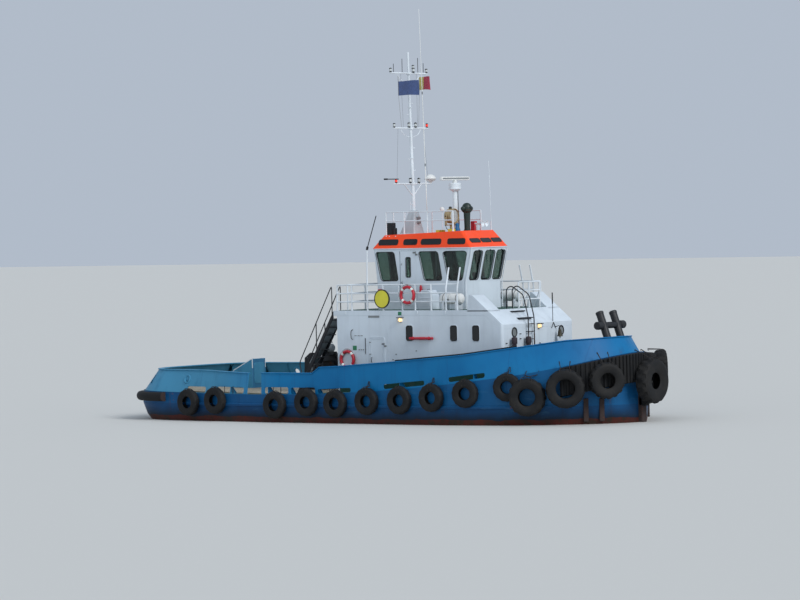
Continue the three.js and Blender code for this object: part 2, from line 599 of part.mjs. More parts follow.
for (const [name, side] of [["starboard", -1], ["port", 1]]) {
  const d = DOOR.cabin;
  const shell = cut(cabinBody(0, BOAT_DECK_Z, CABIN.top), cabinBody(CABIN.wall, BOAT_DECK_Z - 50, CABIN.top + 50));
  const [y0, y1] = [side * 600, side * 1700].sort((a, b) => a - b);
  const leaf = cut(common(shell, box(d.aft, d.forward, y0, y1, d.bottom, d.top)), doorHole(DOOR_WINDOW));
  const hinge = [d.forward, side * CABIN_HINGE_Y, d.bottom];
  const knuckle = hingeKnuckle(side, CABIN_HINGE - d.bottom, CABIN_STRAP);
  add("wheelhouse_door_" + name, join(moved(leaf, ...hinge.map((v) => -v)), knuckle), WHITE, hinge);
}
const PANE = 12;
function glazing(x0, x1) {
  const low = WINDOW.low - 60;
  const high = WINDOW.high + 50;
  const inset = CABIN.wall + SEAT;
  const band = cut(cabinBody(inset, BOAT_DECK_Z, high), cabinBody(inset + PANE, BOAT_DECK_Z - 50, high + 50));
  return common(band, box(x0, x1, -2000, 2000, low, high - 1));
}
add("glazing_forward", glazing(DOOR.cabin.forward + 60, 4500), GLASS);
add("glazing_aft", glazing(-1500, DOOR.cabin.aft - 60), GLASS);

// Orange eyebrow and roof, hollow below
const roofTop = (x) => ROOF.aftZ + ((ROOF.frontZ - ROOF.aftZ) * (x - ROOF.aft)) / (ROOF.front - ROOF.aft);
function wheelhouseRoof() {
  const edge = {
    aft: CABIN.aft - CABIN.leanAft - ROOF.edge, front: CABIN.front + CABIN.lean + ROOF.edge, half: CABIN.half + ROOF.edge,
  };
  const ring = ({ aft, front, half }, inset, z) =>
    roundRect(aft + inset, front - inset, -half + inset, half - inset, 120)
      .map(([x, y]) => [x, y, typeof z === "number" ? z : z(x)]);
  const outer = loft([ring(edge, 0, CABIN.top), ring(edge, 0, CABIN.top + 40), ring(ROOF, 0, roofTop)]);
  const hollow = loft([
    ring(edge, 200, CABIN.top - 20), ring(edge, 200, CABIN.top + 60), ring(ROOF, 120, ROOF.aftZ - 90),
  ]);
  return cut(outer, hollow);
}
add("wheelhouse_roof", wheelhouseRoof(), ORANGE);
const ROOF_SEAT = solid(moved(wheelhouseRoof(), 0, 0, SEAT));
// A roof piece is made a little too deep, and the roof's slope cuts its foot
const SET_IN = 15;
function addOnRoof(name, shape, material, x, y) {
  const at = [x, y, roofTop(x) - SET_IN];
  add(name, moved(cut(moved(shape, ...at), ROOF_SEAT), ...at.map((v) => -v)), material, at);
  return at;
}

// Helm seen through the glass
const console_ = across([[2750, BOAT_DECK_Z], [2650, 5150], [2850, 5300], [3650, 5200], [3650, BOAT_DECK_Z]], -800, 800);
add("helm_console", console_, GREY);
const chair = join(
  box(1950, 2350, -60, 60, BOAT_DECK_Z, 4760), box(1800, 2300, -260, 260, 4700, 4860),
  box(1720, 1850, -260, 260, 4800, 5500),
);
add("helm_chair", chair, BLACK);

// Rails: a post list along a line, with horizontal bars at given heights
const POST = 26;
function rail(points, heights, radius, postXs) {
  const posts = postXs.map(([x, y, z0, z1]) => bar([x, y, z0], [x, y, z1 + 5], POST, 5));
  return join(posts, heights.flatMap((z) => bars(points.map(([x, y]) => [x, y, z]), radius)));
}
const RAIL_Y = HOUSE.half - 45;
const RAIL_HEIGHTS = [4530, 4850, 5170];
const RAIL_POSTS = [-1450, -750, 0, 750, 1660, 2260, 3000];
const TALL_POSTS = { starboard: [3690, 4210], port: [4050, 4530], high: 5790, lean: 220 };
function sideRail(side) {
  const y = side * RAIL_Y;
  const posts = RAIL_POSTS.map((x) => [x, y, BOAT_DECK_Z + SEAT, RAIL_HEIGHTS[2]]);
  const tallXs = side < 0 ? TALL_POSTS.starboard : TALL_POSTS.port;
  const tall = tallXs.flatMap((x) => [
    bar([x, y, BOAT_DECK_Z + SEAT], [x, y, RAIL_HEIGHTS[2]], POST, 5),
    bar([x, y, RAIL_HEIGHTS[1]], [x, y - side * TALL_POSTS.lean, TALL_POSTS.high], POST, 5),
  ]);
  const line = [[RAIL_POSTS[0], y], [tallXs[1], y]];
  const made = join(rail(line, RAIL_HEIGHTS, 20, posts), tall);
  if (side < 0) return made;
  const aftPosts = [900, -500, -1600].map((ay) => [RAIL_POSTS[0], ay, BOAT_DECK_Z + SEAT, RAIL_HEIGHTS[2]]);
  const frontX = SLOPE.topX - 70;
  const ahead = rail([[tallXs[1], y], [frontX, y]], [RAIL_HEIGHTS[2]], 20, [[frontX, y, SLOPE.topZ + SEAT, RAIL_HEIGHTS[2]]]);
  return join(made, ahead, rail([[RAIL_POSTS[0], y], [RAIL_POSTS[0], -1600]], RAIL_HEIGHTS, 20, aftPosts));
}
add("boat_deck_rail_starboard", sideRail(-1), WHITE);
add("boat_deck_rail_port", sideRail(1), WHITE);
const FRONT_RAIL_X = 5330;
const frontRail = rail(
  [[FRONT_RAIL_X, 130], [FRONT_RAIL_X, 1500]], [4520, 4850, 5170], 20,
  [130, 800, 1500].map((y) => [FRONT_RAIL_X, y, BOAT_DECK_Z + SEAT, 5170]),
);
add("front_rail", frontRail, WHITE);

// Roof rail round the after part of the wheelhouse roof
const ROOF_RAIL = { aft: -60, front: 3100, half: 900, low: 7560, high: 7900 };
function roofRail() {
  const r = ROOF_RAIL;
  const line = [[r.front, -r.half], [r.aft, -r.half], [r.aft, r.half], [r.front, r.half]];
  const posts = [r.aft, 800, 1900, r.front].flatMap((x) =>
    [-1, 1].map((side) => [x, side * r.half, roofTop(x) - SET_IN, r.high]));
  return cut(rail(line, [r.low, r.high], 18, posts), ROOF_SEAT);
}
add("roof_rail", roofRail(), WHITE);

// Stair from the after end of the boat deck
const STAIR = { topX: -1650, topZ: BOAT_DECK_Z - 20, footX: -3500, y0: -2280, y1: -1700, plate: 40 };
function aftStair() {
  const footZ = deckZ(STAIR.footX) - 10;
  const profile = [
    [STAIR.topX, STAIR.topZ], [STAIR.topX, STAIR.topZ - 260],
    [STAIR.footX + 160, footZ], [STAIR.footX, footZ],
  ];
  const stringers = [STAIR.y0, STAIR.y1 - STAIR.plate].map((y) => across(profile, y, y + STAIR.plate));
  const treads = steps(0.1, 0.92, 9).map((f) => {
    const x = STAIR.footX + (STAIR.topX - STAIR.footX) * f;
    const z = footZ + (STAIR.topZ - footZ) * f;
    return box(x - 60, x + 170, STAIR.y0 + 10, STAIR.y1 - 10, z - 110, z - 75);
  });
  const handrails = [STAIR.y0 + 20, STAIR.y1 - 20].flatMap((y) => [
    ...bars([[STAIR.footX + 300, y, footZ + 500], [STAIR.footX + 150, y, footZ + 1150], [STAIR.topX - 60, y, 5150]], 20),
    bar([STAIR.topX - 60, y, 5150], [STAIR.topX - 60, y, 4000], 20, 4),
    bar([STAIR.topX - 850, y, 2500], [STAIR.topX - 850, y, 3730], 20, 4),
  ]);
  return cut(join(stringers, treads, handrails), HULL_SEAT);
}
add("aft_stair", aftStair(), BLACK);

// Ladder up the front of the house
const LADDER = { y: [-790, -410], x: HOUSE.front + 110, radius: 22 };
function frontLadder() {
  const lowZ = deckZ(LADDER.x) + 5;
  const stringers = LADDER.y.map((y) =>
    bars([
      [LADDER.x, y, lowZ], [LADDER.x, y, 3900], [6180, y, 4720], [5650, y, 5060], [5420, y, 4950],
      [5420, y, BOAT_DECK_Z + SEAT],
    ], LADDER.radius));
  const rungs = steps(lowZ + 250, SLOPE.footZ - 30, 6).map((z) =>
    bar([LADDER.x, LADDER.y[0], z], [LADDER.x, LADDER.y[1], z], 16, 4));
  const brackets = LADDER.y.flatMap((y) =>
    [2150, 3350].map((z) => bar([HOUSE.front + 1, y, z], [LADDER.x, y, z], 16, 4)));
  return join(stringers, rungs, brackets);
}
add("front_ladder", frontLadder(), BLACK);

// Boat deck gear
for (const [name, side] of [["starboard", -1], ["port", 1]]) {
  const canister = bar([-500, 0, 420], [500, 0, 420], 210, 12);
  const cradle = [-300, 300].map((x) => box(x - 40, x + 40, -200, 200, SEAT, 300));
  add("liferaft_" + name, join(canister, cradle), WHITE, [3700, side * 1880, BOAT_DECK_Z]);
}
const locker = across([[-335, 0], [-335, 520], [-190, 740], [190, 740], [335, 520], [335, 0]], -230, 230);
add("vent_locker", locker, WHITE, [2300, -1450, BOAT_DECK_Z + SEAT]);
const RING_DEEP = 70 * Math.cos(Math.PI / 6); // half the depth of the six-sided ring
const lifeRing = () => new THREE.TorusGeometry(300, 70, 6, 14).rotateX(Math.PI / 2);
add("life_ring_boat_deck", lifeRing(), RED, [1960, -RAIL_Y - POST - RING_DEEP - SEAT, 4780]);
add("life_ring_aft", lifeRing(), RED, [-950, -HOUSE.half - RING_DEEP - SEAT, 2350]);
const disc = bar([0, -25, 0], [0, 25, 0], 360, 20);
add("rail_disc", disc, YELLOW, [730, -RAIL_Y - POST - 25 - SEAT, 4640]);

// Roof gear
const binnacle = lathe([[0, 0], [150, 0], [110, 120], [130, 700], [190, 760], [190, 900], [120, 1040], [0, 1080]], 12);
const binnacleBalls = [-1, 1].map((side) => ball(0, side * 240, 860, 95));
const binnacleArms = bar([0, -240, 860], [0, 240, 860], 30);
addOnRoof("compass_binnacle", join(binnacle, binnacleBalls, binnacleArms), GREEN, 3110, 0);

const lampDrum = bar([-190, 0, 600], [190, 0, 600], 290, 14);
const lampYoke = join(
  bar([0, 0, 0], [0, 0, 280], 50, 10), box(-60, 60, -350, 350, 240, 290),
  box(-60, 60, -350, -300, 240, 640), box(-60, 60, 300, 350, 240, 640), bar([0, -340, 600], [0, 340, 600], 30, 8),
);
addOnRoof("searchlight", join(lampDrum, lampYoke), BEIGE, 2720, -500);

const PEDESTAL_HIGH = 1860;
const pedestal = join(
  bar([0, 0, 0], [0, 0, 1200], 140, 10, 90), bar([0, 0, 1200], [0, 0, 1560], 90, 10, 90),
  bar([0, 0, 1540], [0, 0, 1640], 130, 10, 240), bar([0, 0, 1640], [0, 0, PEDESTAL_HIGH], 240, 10),
);
const [, , pedestalFoot] = addOnRoof("radar_pedestal", pedestal, WHITE, RADAR.x, RADAR.y);
const scannerSeat = pedestalFoot + PEDESTAL_HIGH;
const scanner = join(
  bar([0, 0, SEAT], [0, 0, 110], 90, 10), box(-60, 60, -900, 900, 100, 240),
);
add("radar_scanner", scanner, GREY, [RADAR.x, RADAR.y, scannerSeat]);

// Mast: a tapered trunk, a pole and three yards
const mastX = (z) => MAST.x + (MAST.rake * (z - MAST.base)) / (MAST.top - MAST.base);
// Yards: height, half length, lantern drums along it as shares of that half
const YARDS = [
  { z: 8980, half: 1200, lamps: [-1] },
  { z: 11100, half: 1080, lamps: [-1, 0.2, 1] },
  { z: 13200, half: 1180, lamps: [-1, 0.25, 1] },
];
const YARD = 30;
const HALYARD = 8;
// Flags: halyard's distance to port, and each flag's length, height and head
const FLAGS = { house: [-670, 950, 540, 12900], small: [680, 520, 490, 13080] };
function mast() {
  const trunkRing = (x, half, z) =>
    roundRect(x - half, x + half, -half, half, 40, 40, 1).map(([a, b]) => [a, b, z]);
  const trunk = loft([trunkRing(MAST.footX, 355, roofTop(MAST.footX) - 2 * SET_IN), trunkRing(mastX(7950), 130, 7950)]);
  const pole = bar([mastX(7700), 0, 7700], [mastX(MAST.top), 0, MAST.top], 75, 8, 40);
  const yards = YARDS.flatMap(({ z, half, lamps }) => [
    bar([mastX(z), -half, z], [mastX(z), half, z], YARD, 4),
    ...lamps.map((f) => bar([mastX(z), f * half, z - 20], [mastX(z), f * half, z + 170], 55, 6)),
  ]);
  const braces = [-1, 1].map((side) => bar([mastX(8500), 0, 8500], [mastX(8960), side * 560, 8960], 25, 4));
  const rungs = steps(8200, 12900, 11).map((z, i) => bar([mastX(z), 0, z], [mastX(z), (i % 2 ? 1 : -1) * 210, z], 14, 3));
  const yardX = mastX(YARDS[2].z);
  const halyards = Object.values(FLAGS).map(([y, , high, head]) =>
    bar([yardX, y, YARDS[2].z], [yardX, y, head - high], HALYARD, 4));
  return cut(join(trunk, pole, yards, braces, rungs, halyards), ROOF_SEAT);
}
add("mast", mast(), WHITE);
const dome = lathe([[0, 0], [60, 0], [225, 120], [200, 210], [110, 290], [0, 320]], 12);
add("satellite_dome", dome, GREY, [mastX(YARDS[0].z), 1130, YARDS[0].z + YARD + SEAT]);
const whip = bar([0, 0, 0], [-200, 0, 8600], 24, 6, 12);
addOnRoof("whip_antenna", whip, WHITE, 1030, 300);

// Flags stream forward from their halyards
for (const [name, [y, long, high, head]] of Object.entries(FLAGS)) {
  const cloth = box(HALYARD + SEAT, long, -10, 10, -high, 0);
  add(name + "_flag", cloth, name === "house" ? FLAG_BLUE : RED, [mastX(YARDS[2].z), y, head]);
}

// Towing bitt on the foredeck: posts lean aft
const BITT = { y: 440, radius: 150, topX: 9340, topZ: 4070, lean: 0.36, bar: 3560 };
function bitt() {
  const at = (z) => BITT.topX + (BITT.topZ - z) * BITT.lean;
  const posts = [-1, 1].map((side) =>
    bar([at(2050), side * BITT.y, 2050], [at(BITT.topZ), side * BITT.y, BITT.topZ], BITT.radius, 10));
  const crossbar = bar([at(BITT.bar), -875, BITT.bar], [at(BITT.bar), 875, BITT.bar], 150, 10);
  return cut(join(posts, crossbar), HULL_SEAT);
}
add("towing_bitt", bitt(), BLACK);

// Towing winch abaft the house
function winchFrame() {
  const plate = [[-480, -860], [-420, 420], [-150, 620], [250, 620], [420, 300], [560, -860]];
  const plates = [-WINCH.half, WINCH.half].map((y) =>
    across(plate, y - 40, y + 40).translate(WINCH.x, 0, WINCH.z));
  const bed = box(WINCH.x - 600, WINCH.x + 640, -WINCH.half - 120, WINCH.half + 120, 1000, 1180);
  const beam = box(WINCH.x - 130, WINCH.x + 230, -WINCH.half, WINCH.half, WINCH.z + 500, WINCH.z + 600);
  const block = box(WINCH.x - 60, WINCH.x + 260, -150, 250, WINCH.z + 590, WINCH.z + 980);
  const bores = bar([WINCH.x, -800, WINCH.z], [WINCH.x, 800, WINCH.z], 84, 12);
  return cut(join(plates, bed, beam, block), bores, HULL_SEAT);
}
add("towing_winch_frame", winchFrame(), BLACK);
const DRUM_GAP = 46;
const drumEnds = WINCH.half - DRUM_GAP;
const drum = join(
  bar([0, -drumEnds, 0], [0, drumEnds, 0], WINCH.core, 12),
  [-1, 1].map((side) => bar([0, side * drumEnds, 0], [0, side * (drumEnds - 40), 0], WINCH.flange, 16)),
  bar([0, -WINCH.half - 160, 0], [0, WINCH.half + 160, 0], 76, 12),
  bar([0, 40 + SEAT - WINCH.half, 0], [0, WINCH.half - 40 - SEAT, 0], 130, 12),
);
add("winch_drum", drum, BLACK, [WINCH.x, 0, WINCH.z]);

// Sloped companion hatch on the after deck
const hatch = across([[-8200, 1000], [-8200, 1780], [-7200, 2270], [-7200, 1000]], -420, 420);
add("companion_hatch", cut(hatch, HULL_SEAT), BLUE);

// Propellers, nozzles and rudders
const BLADES = 4;
function propeller(side) {
  const hub = bar([-230, 0, 0], [220, 0, 0], 110, 12, 130);
  const shaft = bar([200, 0, 0], [SHAFT_END - SEAT - PROP.x, 0, 0], 76, 12);
  const blade = () => {
    const plan = [[-60, 60], [-150, 300], [-210, 560], [-140, 740], [0, 790], [140, 740], [210, 560], [150, 300], [60, 60]];
    return extrude(plan.map(([a, b]) => [a, b]), 34)
      .translate(0, 0, -17)
      .rotateY(THREE.MathUtils.degToRad(side * 58))
      .rotateX(Math.PI / 2);
  };
  const blades = steps(0, BLADES - 1, BLADES - 1).map((i) => blade().rotateX((i * 2 * Math.PI) / BLADES));
  return join(hub, shaft, blades);
}
function nozzle(side) {
  const length = NOZZLE.front - NOZZLE.back;
  const { inner, outer } = NOZZLE;
  const duct = lathe([
    [inner, 0.35 * length], [inner + 30, 0], [outer, 0.6 * length],
    [outer - 10, length], [inner + 60, length], [inner, 0.75 * length], [inner, 0.35 * length],
  ], 20).rotateY(Math.PI / 2);
  const head = box(120, length - 60, -120, 120, inner + 30, 1500);
  const placed = moved(join(duct, head), NOZZLE.back, side * PROP.y, PROP.z);
  return moved(cut(placed, HULL_SEAT), -NOZZLE.back, -side * PROP.y, -PROP.z);
}
function rudder() {
  const { ahead, behind, thick, top, bottom } = RUDDER;
  const plan = [
    [ahead, 0], [ahead - 60, thick * 0.42], [0, thick / 2 + 30], [-behind, 14],
    [-behind, -14], [0, -thick / 2 - 30], [ahead - 60, -thick * 0.42],
  ];
  const blade = upright(plan, bottom, top);
  const plates = [top, bottom - 30].map((z) => upright(roundRect(-behind, ahead, -110, 110, 100), z, z + 30));
  const stock = bar([0, 0, top], [0, 0, STOCK_END - SEAT], 76, 12);
  return join(blade, plates, stock);
}
for (const [name, side] of [["starboard", -1], ["port", 1]]) {
  add("nozzle_" + name, nozzle(side), DARK_BLUE, [NOZZLE.back, side * PROP.y, PROP.z]);
  add("propeller_" + name, propeller(side), BRONZE, [PROP.x, side * PROP.y, PROP.z]);
  add("rudder_" + name, rudder(), DARK_BLUE, [RUDDER.x, side * PROP.y, 0]);
}

export default tug;
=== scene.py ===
"""The harbour tug's looks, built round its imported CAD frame.

Metres, +X to the bow, +Y to port, +Z up, z = 0 at the waterline.
"""
import math

import bmesh
import bpy
from mathutils import Matrix, Vector


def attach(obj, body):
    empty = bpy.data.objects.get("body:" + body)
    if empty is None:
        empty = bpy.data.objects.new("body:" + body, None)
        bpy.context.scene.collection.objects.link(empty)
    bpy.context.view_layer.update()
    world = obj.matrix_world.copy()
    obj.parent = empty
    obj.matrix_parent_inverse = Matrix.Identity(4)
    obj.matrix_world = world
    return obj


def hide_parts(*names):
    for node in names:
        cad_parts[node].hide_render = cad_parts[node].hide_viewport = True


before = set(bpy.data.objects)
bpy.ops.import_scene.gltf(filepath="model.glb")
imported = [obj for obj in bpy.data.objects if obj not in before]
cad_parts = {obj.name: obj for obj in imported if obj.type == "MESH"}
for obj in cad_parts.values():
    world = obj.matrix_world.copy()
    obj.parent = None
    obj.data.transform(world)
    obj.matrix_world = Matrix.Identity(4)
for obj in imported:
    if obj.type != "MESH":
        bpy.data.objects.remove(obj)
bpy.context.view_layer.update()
pi = math.pi


def linked(name, data):
    obj = bpy.data.objects.new(name, data)
    bpy.context.scene.collection.objects.link(obj)
    return obj


# Camera: the photograph's, from far off on the starboard bow
CAMERA_PLACE = (89.898, -119.506, 7.793)
BEARING, DIP, ROLL = math.radians(37), math.atan(85 / 3900), math.radians(1.3)
LENS, SENSOR = 175.5, 36


def add_camera():
    level = Vector((-math.sin(BEARING), math.cos(BEARING), 0))
    beam = Vector((math.cos(BEARING), math.sin(BEARING), 0))
    ahead = level * math.cos(DIP) - Vector((0, 0, math.sin(DIP)))
    above = level * math.sin(DIP) + Vector((0, 0, math.cos(DIP)))
    right = beam * math.cos(ROLL) - above * math.sin(ROLL)
    up = beam * math.sin(ROLL) + above * math.cos(ROLL)
    data = bpy.data.cameras.new("camera")
    data.lens, data.sensor_width = LENS, SENSOR
    data.clip_start, data.clip_end = 1, 2000
    camera = linked("camera", data)
    camera.matrix_world = Matrix.Translation(CAMERA_PLACE) @ Matrix((right, up, -ahead)).transposed().to_4x4()
    bpy.context.scene.camera = camera


add_camera()


# Materials
def rgb(r, g, b):
    """A colour from 0 to 255 as the eye sees it, made linear."""
    return tuple(
        (c / 255 / 12.92 if c <= 10 else ((c / 255 + 0.055) / 1.055) ** 2.4) for c in (r, g, b)
    ) + (1,)


def shade(color, k):
    return tuple(min(c * k, 1) for c in color[:3]) + (1,)


RUST = rgb(112, 62, 36)
GRIME = rgb(62, 56, 46)


class Finish:
    """A material made of noise, masks and mixes in the object's own coordinates."""

    def __init__(self, name, **sockets):
        self.mat = bpy.data.materials.new(name)
        self.mat.use_nodes = True
        self.tree = self.mat.node_tree
        self.shader = self.tree.nodes["Principled BSDF"]
        self.where = self.tree.nodes.new("ShaderNodeTexCoord").outputs["Object"]
        for key, value in sockets.items():
            self.shader.inputs[key.replace("_", " ")].default_value = value

    def feed(self, socket, value):
        if isinstance(value, bpy.types.NodeSocket):
            self.tree.links.new(value, socket)
        elif value is not None:
            socket.default_value = value

    def node(self, kind, *inputs, **settings):
        made = self.tree.nodes.new("ShaderNode" + kind)
        for key, value in settings.items():
            setattr(made, key, value)
        for socket, value in zip(made.inputs, inputs):
            self.feed(socket, value)
        return made

    def noise(self, scale, stretch=(1, 1, 1), detail=4.0, rough=0.55):
        mapped = self.node("Mapping", self.where)
        mapped.inputs["Scale"].default_value = stretch
        made = self.tree.nodes.new("ShaderNodeTexNoise")
        self.feed(made.inputs["Vector"], mapped.outputs[0])
        made.inputs["Scale"].default_value = scale
        made.inputs["Detail"].default_value = detail
        made.inputs["Roughness"].default_value = rough
        return made.outputs[0]

    def axis(self, name):
        return self.node("SeparateXYZ", self.where).outputs["xyz".index(name)]

    def step(self, value, low, high, a=0.0, b=1.0):
        return self.node("MapRange", value, low, high, a, b).outputs[0]

    def calc(self, operation, a, b=None):
        return self.node("Math", a, b, operation=operation).outputs[0]

    def times(self, a, b):
        return self.calc("MULTIPLY", a, b)

    def mix(self, share, a, b):
        made = self.tree.nodes.new("ShaderNodeMix")
        made.data_type = "RGBA"
        self.feed(made.inputs[0], share)
        self.feed(made.inputs[6], a)
        self.feed(made.inputs[7], b)
        return made.outputs[2]

    def line(self, value, at, half):
        """1 within half of a value, else 0."""
        return self.calc("LESS_THAN", self.calc("ABSOLUTE", self.calc("SUBTRACT", value, at)), half)

    def seams(self, value, pitch, half):
        """1 near each multiple of pitch."""
        fold = self.calc("PINGPONG", value, pitch / 2)
        return self.calc("LESS_THAN", fold, half)

    def done(self, color, rough=None, height=None, distance=0.01, strength=1.0):
        self.feed(self.shader.inputs["Base Color"], color)
        self.feed(self.shader.inputs["Roughness"], rough)
        if height is not None:
            bump = self.tree.nodes.new("ShaderNodeBump")
            bump.inputs["Strength"].default_value = strength
            bump.inputs["Distance"].default_value = distance
            self.feed(bump.inputs["Height"], height)
            self.tree.links.new(bump.outputs[0], self.shader.inputs["Normal"])
        return self.mat


def paint(name, color, rough=0.38, dirt=0.35, rust=0.3, wave=0.25, size=1.0):
    """Weathered paint: faded patches, streaks that run down, rust spots with their runs."""
    f = Finish(name)
    broad = f.noise(0.55 / size, detail=3)
    runs = f.noise(2.6 / size, stretch=(1, 1, 0.09), detail=6, rough=0.62)
    spots = f.noise(3.4 / size, detail=9, rough=0.72)
    fine = f.noise(30 / size, detail=4)
    base = f.mix(f.step(broad, 0.35, 0.65), shade(color, 0.9), shade(color, 1.06))
    dirty = f.times(f.step(runs, 0.5, 0.78), f.step(broad, 0.3, 0.7, 0.35, 1.0))
    stained = f.mix(f.times(dirty, dirt), base, GRIME)
    rusty = f.times(f.step(spots, 0.71 - 0.1 * rust, 0.76 - 0.1 * rust), min(1, rust * 2))
    run_mask = f.times(f.step(runs, 0.66, 0.74), f.step(spots, 0.5, 0.62, 0, 0.55 * rust))
    brown = f.mix(run_mask, stained, RUST)
    color_out = f.mix(rusty, brown, RUST)
    height = f.calc("ADD", f.times(fine, 0.12), f.times(broad, wave * 6))
    return f.done(color_out, f.step(f.calc("ADD", dirty, rusty), 0, 1, rough, 0.8), height, 0.012, 0.6)


def hull_paint():
    """Blue topsides, weld lines, painted shade below the knuckle, darkening towards the waterline, and
    red-brown bottom paint below.
    """
    f = Finish("hull_paint")
    f.shader.inputs["Specular IOR Level"].default_value = 0.2
    x, z = f.axis("x"), f.axis("z")
    broad = f.noise(0.35, detail=3)
    runs = f.noise(2.2, stretch=(1, 1, 0.07), detail=6, rough=0.62)
    spots = f.noise(2.4, detail=9, rough=0.72)
    scuffs = f.noise(1.6, stretch=(0.35, 1, 2.4), detail=7, rough=0.7)
    base = f.mix(f.step(broad, 0.35, 0.65), rgb(8, 72, 120), rgb(14, 90, 140))
    # painted shade: below the knuckle the blue is mixed darker, for the shadow under the flare
    low = f.mix(f.step(z, 0.62, 0.7), f.mix(0.45, base, rgb(8, 40, 80)), base)
    worn = f.mix(f.times(f.step(scuffs, 0.57, 0.7), 0.4), low, rgb(70, 120, 150))
    dark = f.mix(f.times(f.step(runs, 0.52, 0.75), 0.4), worn, rgb(14, 38, 62))
    rusty = f.step(spots, 0.655, 0.7)
    run_mask = f.times(f.step(runs, 0.62, 0.72), f.step(spots, 0.48, 0.62, 0, 0.4))
    brown = f.mix(f.calc("MAXIMUM", f.times(rusty, 0.8), run_mask), dark, RUST)
    seam = f.calc("MAXIMUM", f.line(z, 0.66, 0.012), f.times(f.seams(x, 2.4, 0.008), f.step(z, 0.2, 0.25)))
    welded = f.mix(f.times(seam, 0.35), brown, rgb(20, 50, 92))
    edge = f.calc("ADD", z, f.step(f.noise(1.4, detail=5), 0.3, 0.7, -0.05, 0.05))
    # the blue darkens towards the waterline: most near z 0.22, none above z 0.62
    darker_to_waterline = f.mix(f.step(edge, 0.22, 0.62, 0.85, 0.0), welded, rgb(16, 22, 28))
    bottom = f.mix(f.step(f.noise(3, detail=6), 0.4, 0.65), rgb(74, 30, 24), rgb(46, 34, 26))
    color = f.mix(f.calc("LESS_THAN", edge, 0.2), darker_to_waterline, bottom)
    height = f.calc("ADD", f.times(broad, 1.6), f.calc("ADD", f.times(seam, 0.3), f.times(scuffs, 0.1)))
    return f.done(color, f.step(scuffs, 0.3, 0.8, 0.34, 0.66), height, 0.014, 0.7)


def bulwark_paint():
    f = Finish("bulwark_paint")
    f.shader.inputs["Specular IOR Level"].default_value = 0.2
    x = f.axis("x")
    broad = f.noise(0.4, detail=3)
    runs = f.noise(2.6, stretch=(1, 1, 0.08), detail=6, rough=0.62)
    spots = f.noise(3.0, detail=9, rough=0.72)
    # painted light and fading: the aft bulwark, which leans in and faces the sky, is painted paler, and its
    # paint is also faded
    aft = f.step(x, -6.5, -3.2, 1.0, 0.0)
    base = f.mix(f.step(broad, 0.35, 0.65), rgb(4, 98, 152), rgb(12, 114, 168))
    faded = f.mix(f.times(aft, 0.85), base, rgb(72, 140, 172))
    dark = f.mix(f.times(f.step(runs, 0.52, 0.75), 0.3), faded, rgb(18, 60, 96))
    run_mask = f.times(f.step(runs, 0.66, 0.75), f.step(spots, 0.48, 0.62, 0, 0.4))
    brown = f.mix(f.calc("MAXIMUM", f.times(f.step(spots, 0.68, 0.72), 0.7), run_mask), dark, RUST)
    seam = f.times(f.seams(x, 2.4, 0.008), 0.4)
    color = f.mix(seam, brown, rgb(24, 70, 120))
    height = f.calc("ADD", f.times(broad, 1.4), f.times(seam, 0.4))
    return f.done(color, f.step(runs, 0.3, 0.8, 0.36, 0.62), height, 0.014, 0.7)


def rubber(name, color, dust=0.5, rough=0.82):
    """Old rubber: dust in the hollows, scrapes, cracks."""
    f = Finish(name)
    f.shader.inputs["Specular IOR Level"].default_value = 0.3
    patches = f.noise(2.2, detail=5)
    fine = f.noise(26, detail=6, rough=0.7)
    dusty = f.times(f.step(patches, 0.42, 0.7), f.step(fine, 0.35, 0.75))
    aged = f.mix(f.times(dusty, dust), color, rgb(96, 90, 80))
    scrapes = f.step(f.noise(7, stretch=(1, 1, 3), detail=8), 0.6, 0.7)
    scraped = f.mix(f.times(scrapes, 0.35), aged, rgb(26, 26, 28))
    return f.done(scraped, f.step(dusty, 0, 1, rough - 0.14, rough + 0.1), f.times(fine, 0.5), 0.006, 0.7)


def metal(name, color, rough=0.4, metallic=1.0, rust=0.2):
    f = Finish(name, Metallic=metallic)
    fine = f.noise(40, detail=5)
    spots = f.noise(6, detail=8, rough=0.7)
    base = f.mix(f.step(fine, 0.3, 0.7), shade(color, 0.85), shade(color, 1.1))
    rusty = f.step(spots, 0.7 - 0.15 * rust, 0.78 - 0.15 * rust)
    color = f.mix(f.times(rusty, min(1, rust * 3)), base, RUST)
    return f.done(color, f.step(spots, 0.3, 0.8, rough, rough + 0.25), fine, 0.002, 0.4)


def deck_paint(name, color):
    """Non-slip deck paint, worn along the walkways."""
    f = Finish(name)
    grit = f.noise(90, detail=3)
    broad = f.noise(0.7, detail=5)
    spots = f.noise(3.2, detail=9, rough=0.72)
    base = f.mix(f.step(broad, 0.35, 0.68), shade(color, 0.8), shade(color, 1.15))
    worn = f.mix(f.times(f.step(spots, 0.56, 0.7), 0.45), base, rgb(92, 96, 88))
    rusty = f.mix(f.step(spots, 0.7, 0.74), worn, RUST)
    return f.done(rusty, f.step(broad, 0.3, 0.7, 0.5, 0.75), grit, 0.004, 0.8)


def planking():
    """Pale weathered deck planks that run fore and aft, with dark caulking."""
    f = Finish("deck_planking")
    x, y = f.axis("x"), f.axis("y")
    grain = f.noise(5, stretch=(0.6, 9, 9), detail=6)
    broad = f.noise(0.8, detail=4)
    base = f.mix(f.step(grain, 0.3, 0.7), rgb(142, 132, 112), rgb(178, 170, 150))
    stained = f.mix(f.step(broad, 0.5, 0.75, 0, 0.45), base, rgb(92, 84, 70))
    caulk = f.calc("MAXIMUM", f.seams(y, 0.15, 0.006), f.seams(x, 2.6, 0.004))
    height = f.calc("SUBTRACT", f.times(grain, 0.3), caulk)
    return f.done(f.mix(caulk, stained, rgb(34, 32, 30)), 0.66, height, 0.006, 0.8)


def glass(name, color, alpha=0.0):
    f = Finish(name, Roughness=0.04, IOR=1.45)
    f.shader.inputs["Transmission Weight"].default_value = 1 - alpha
    return f.done(color)


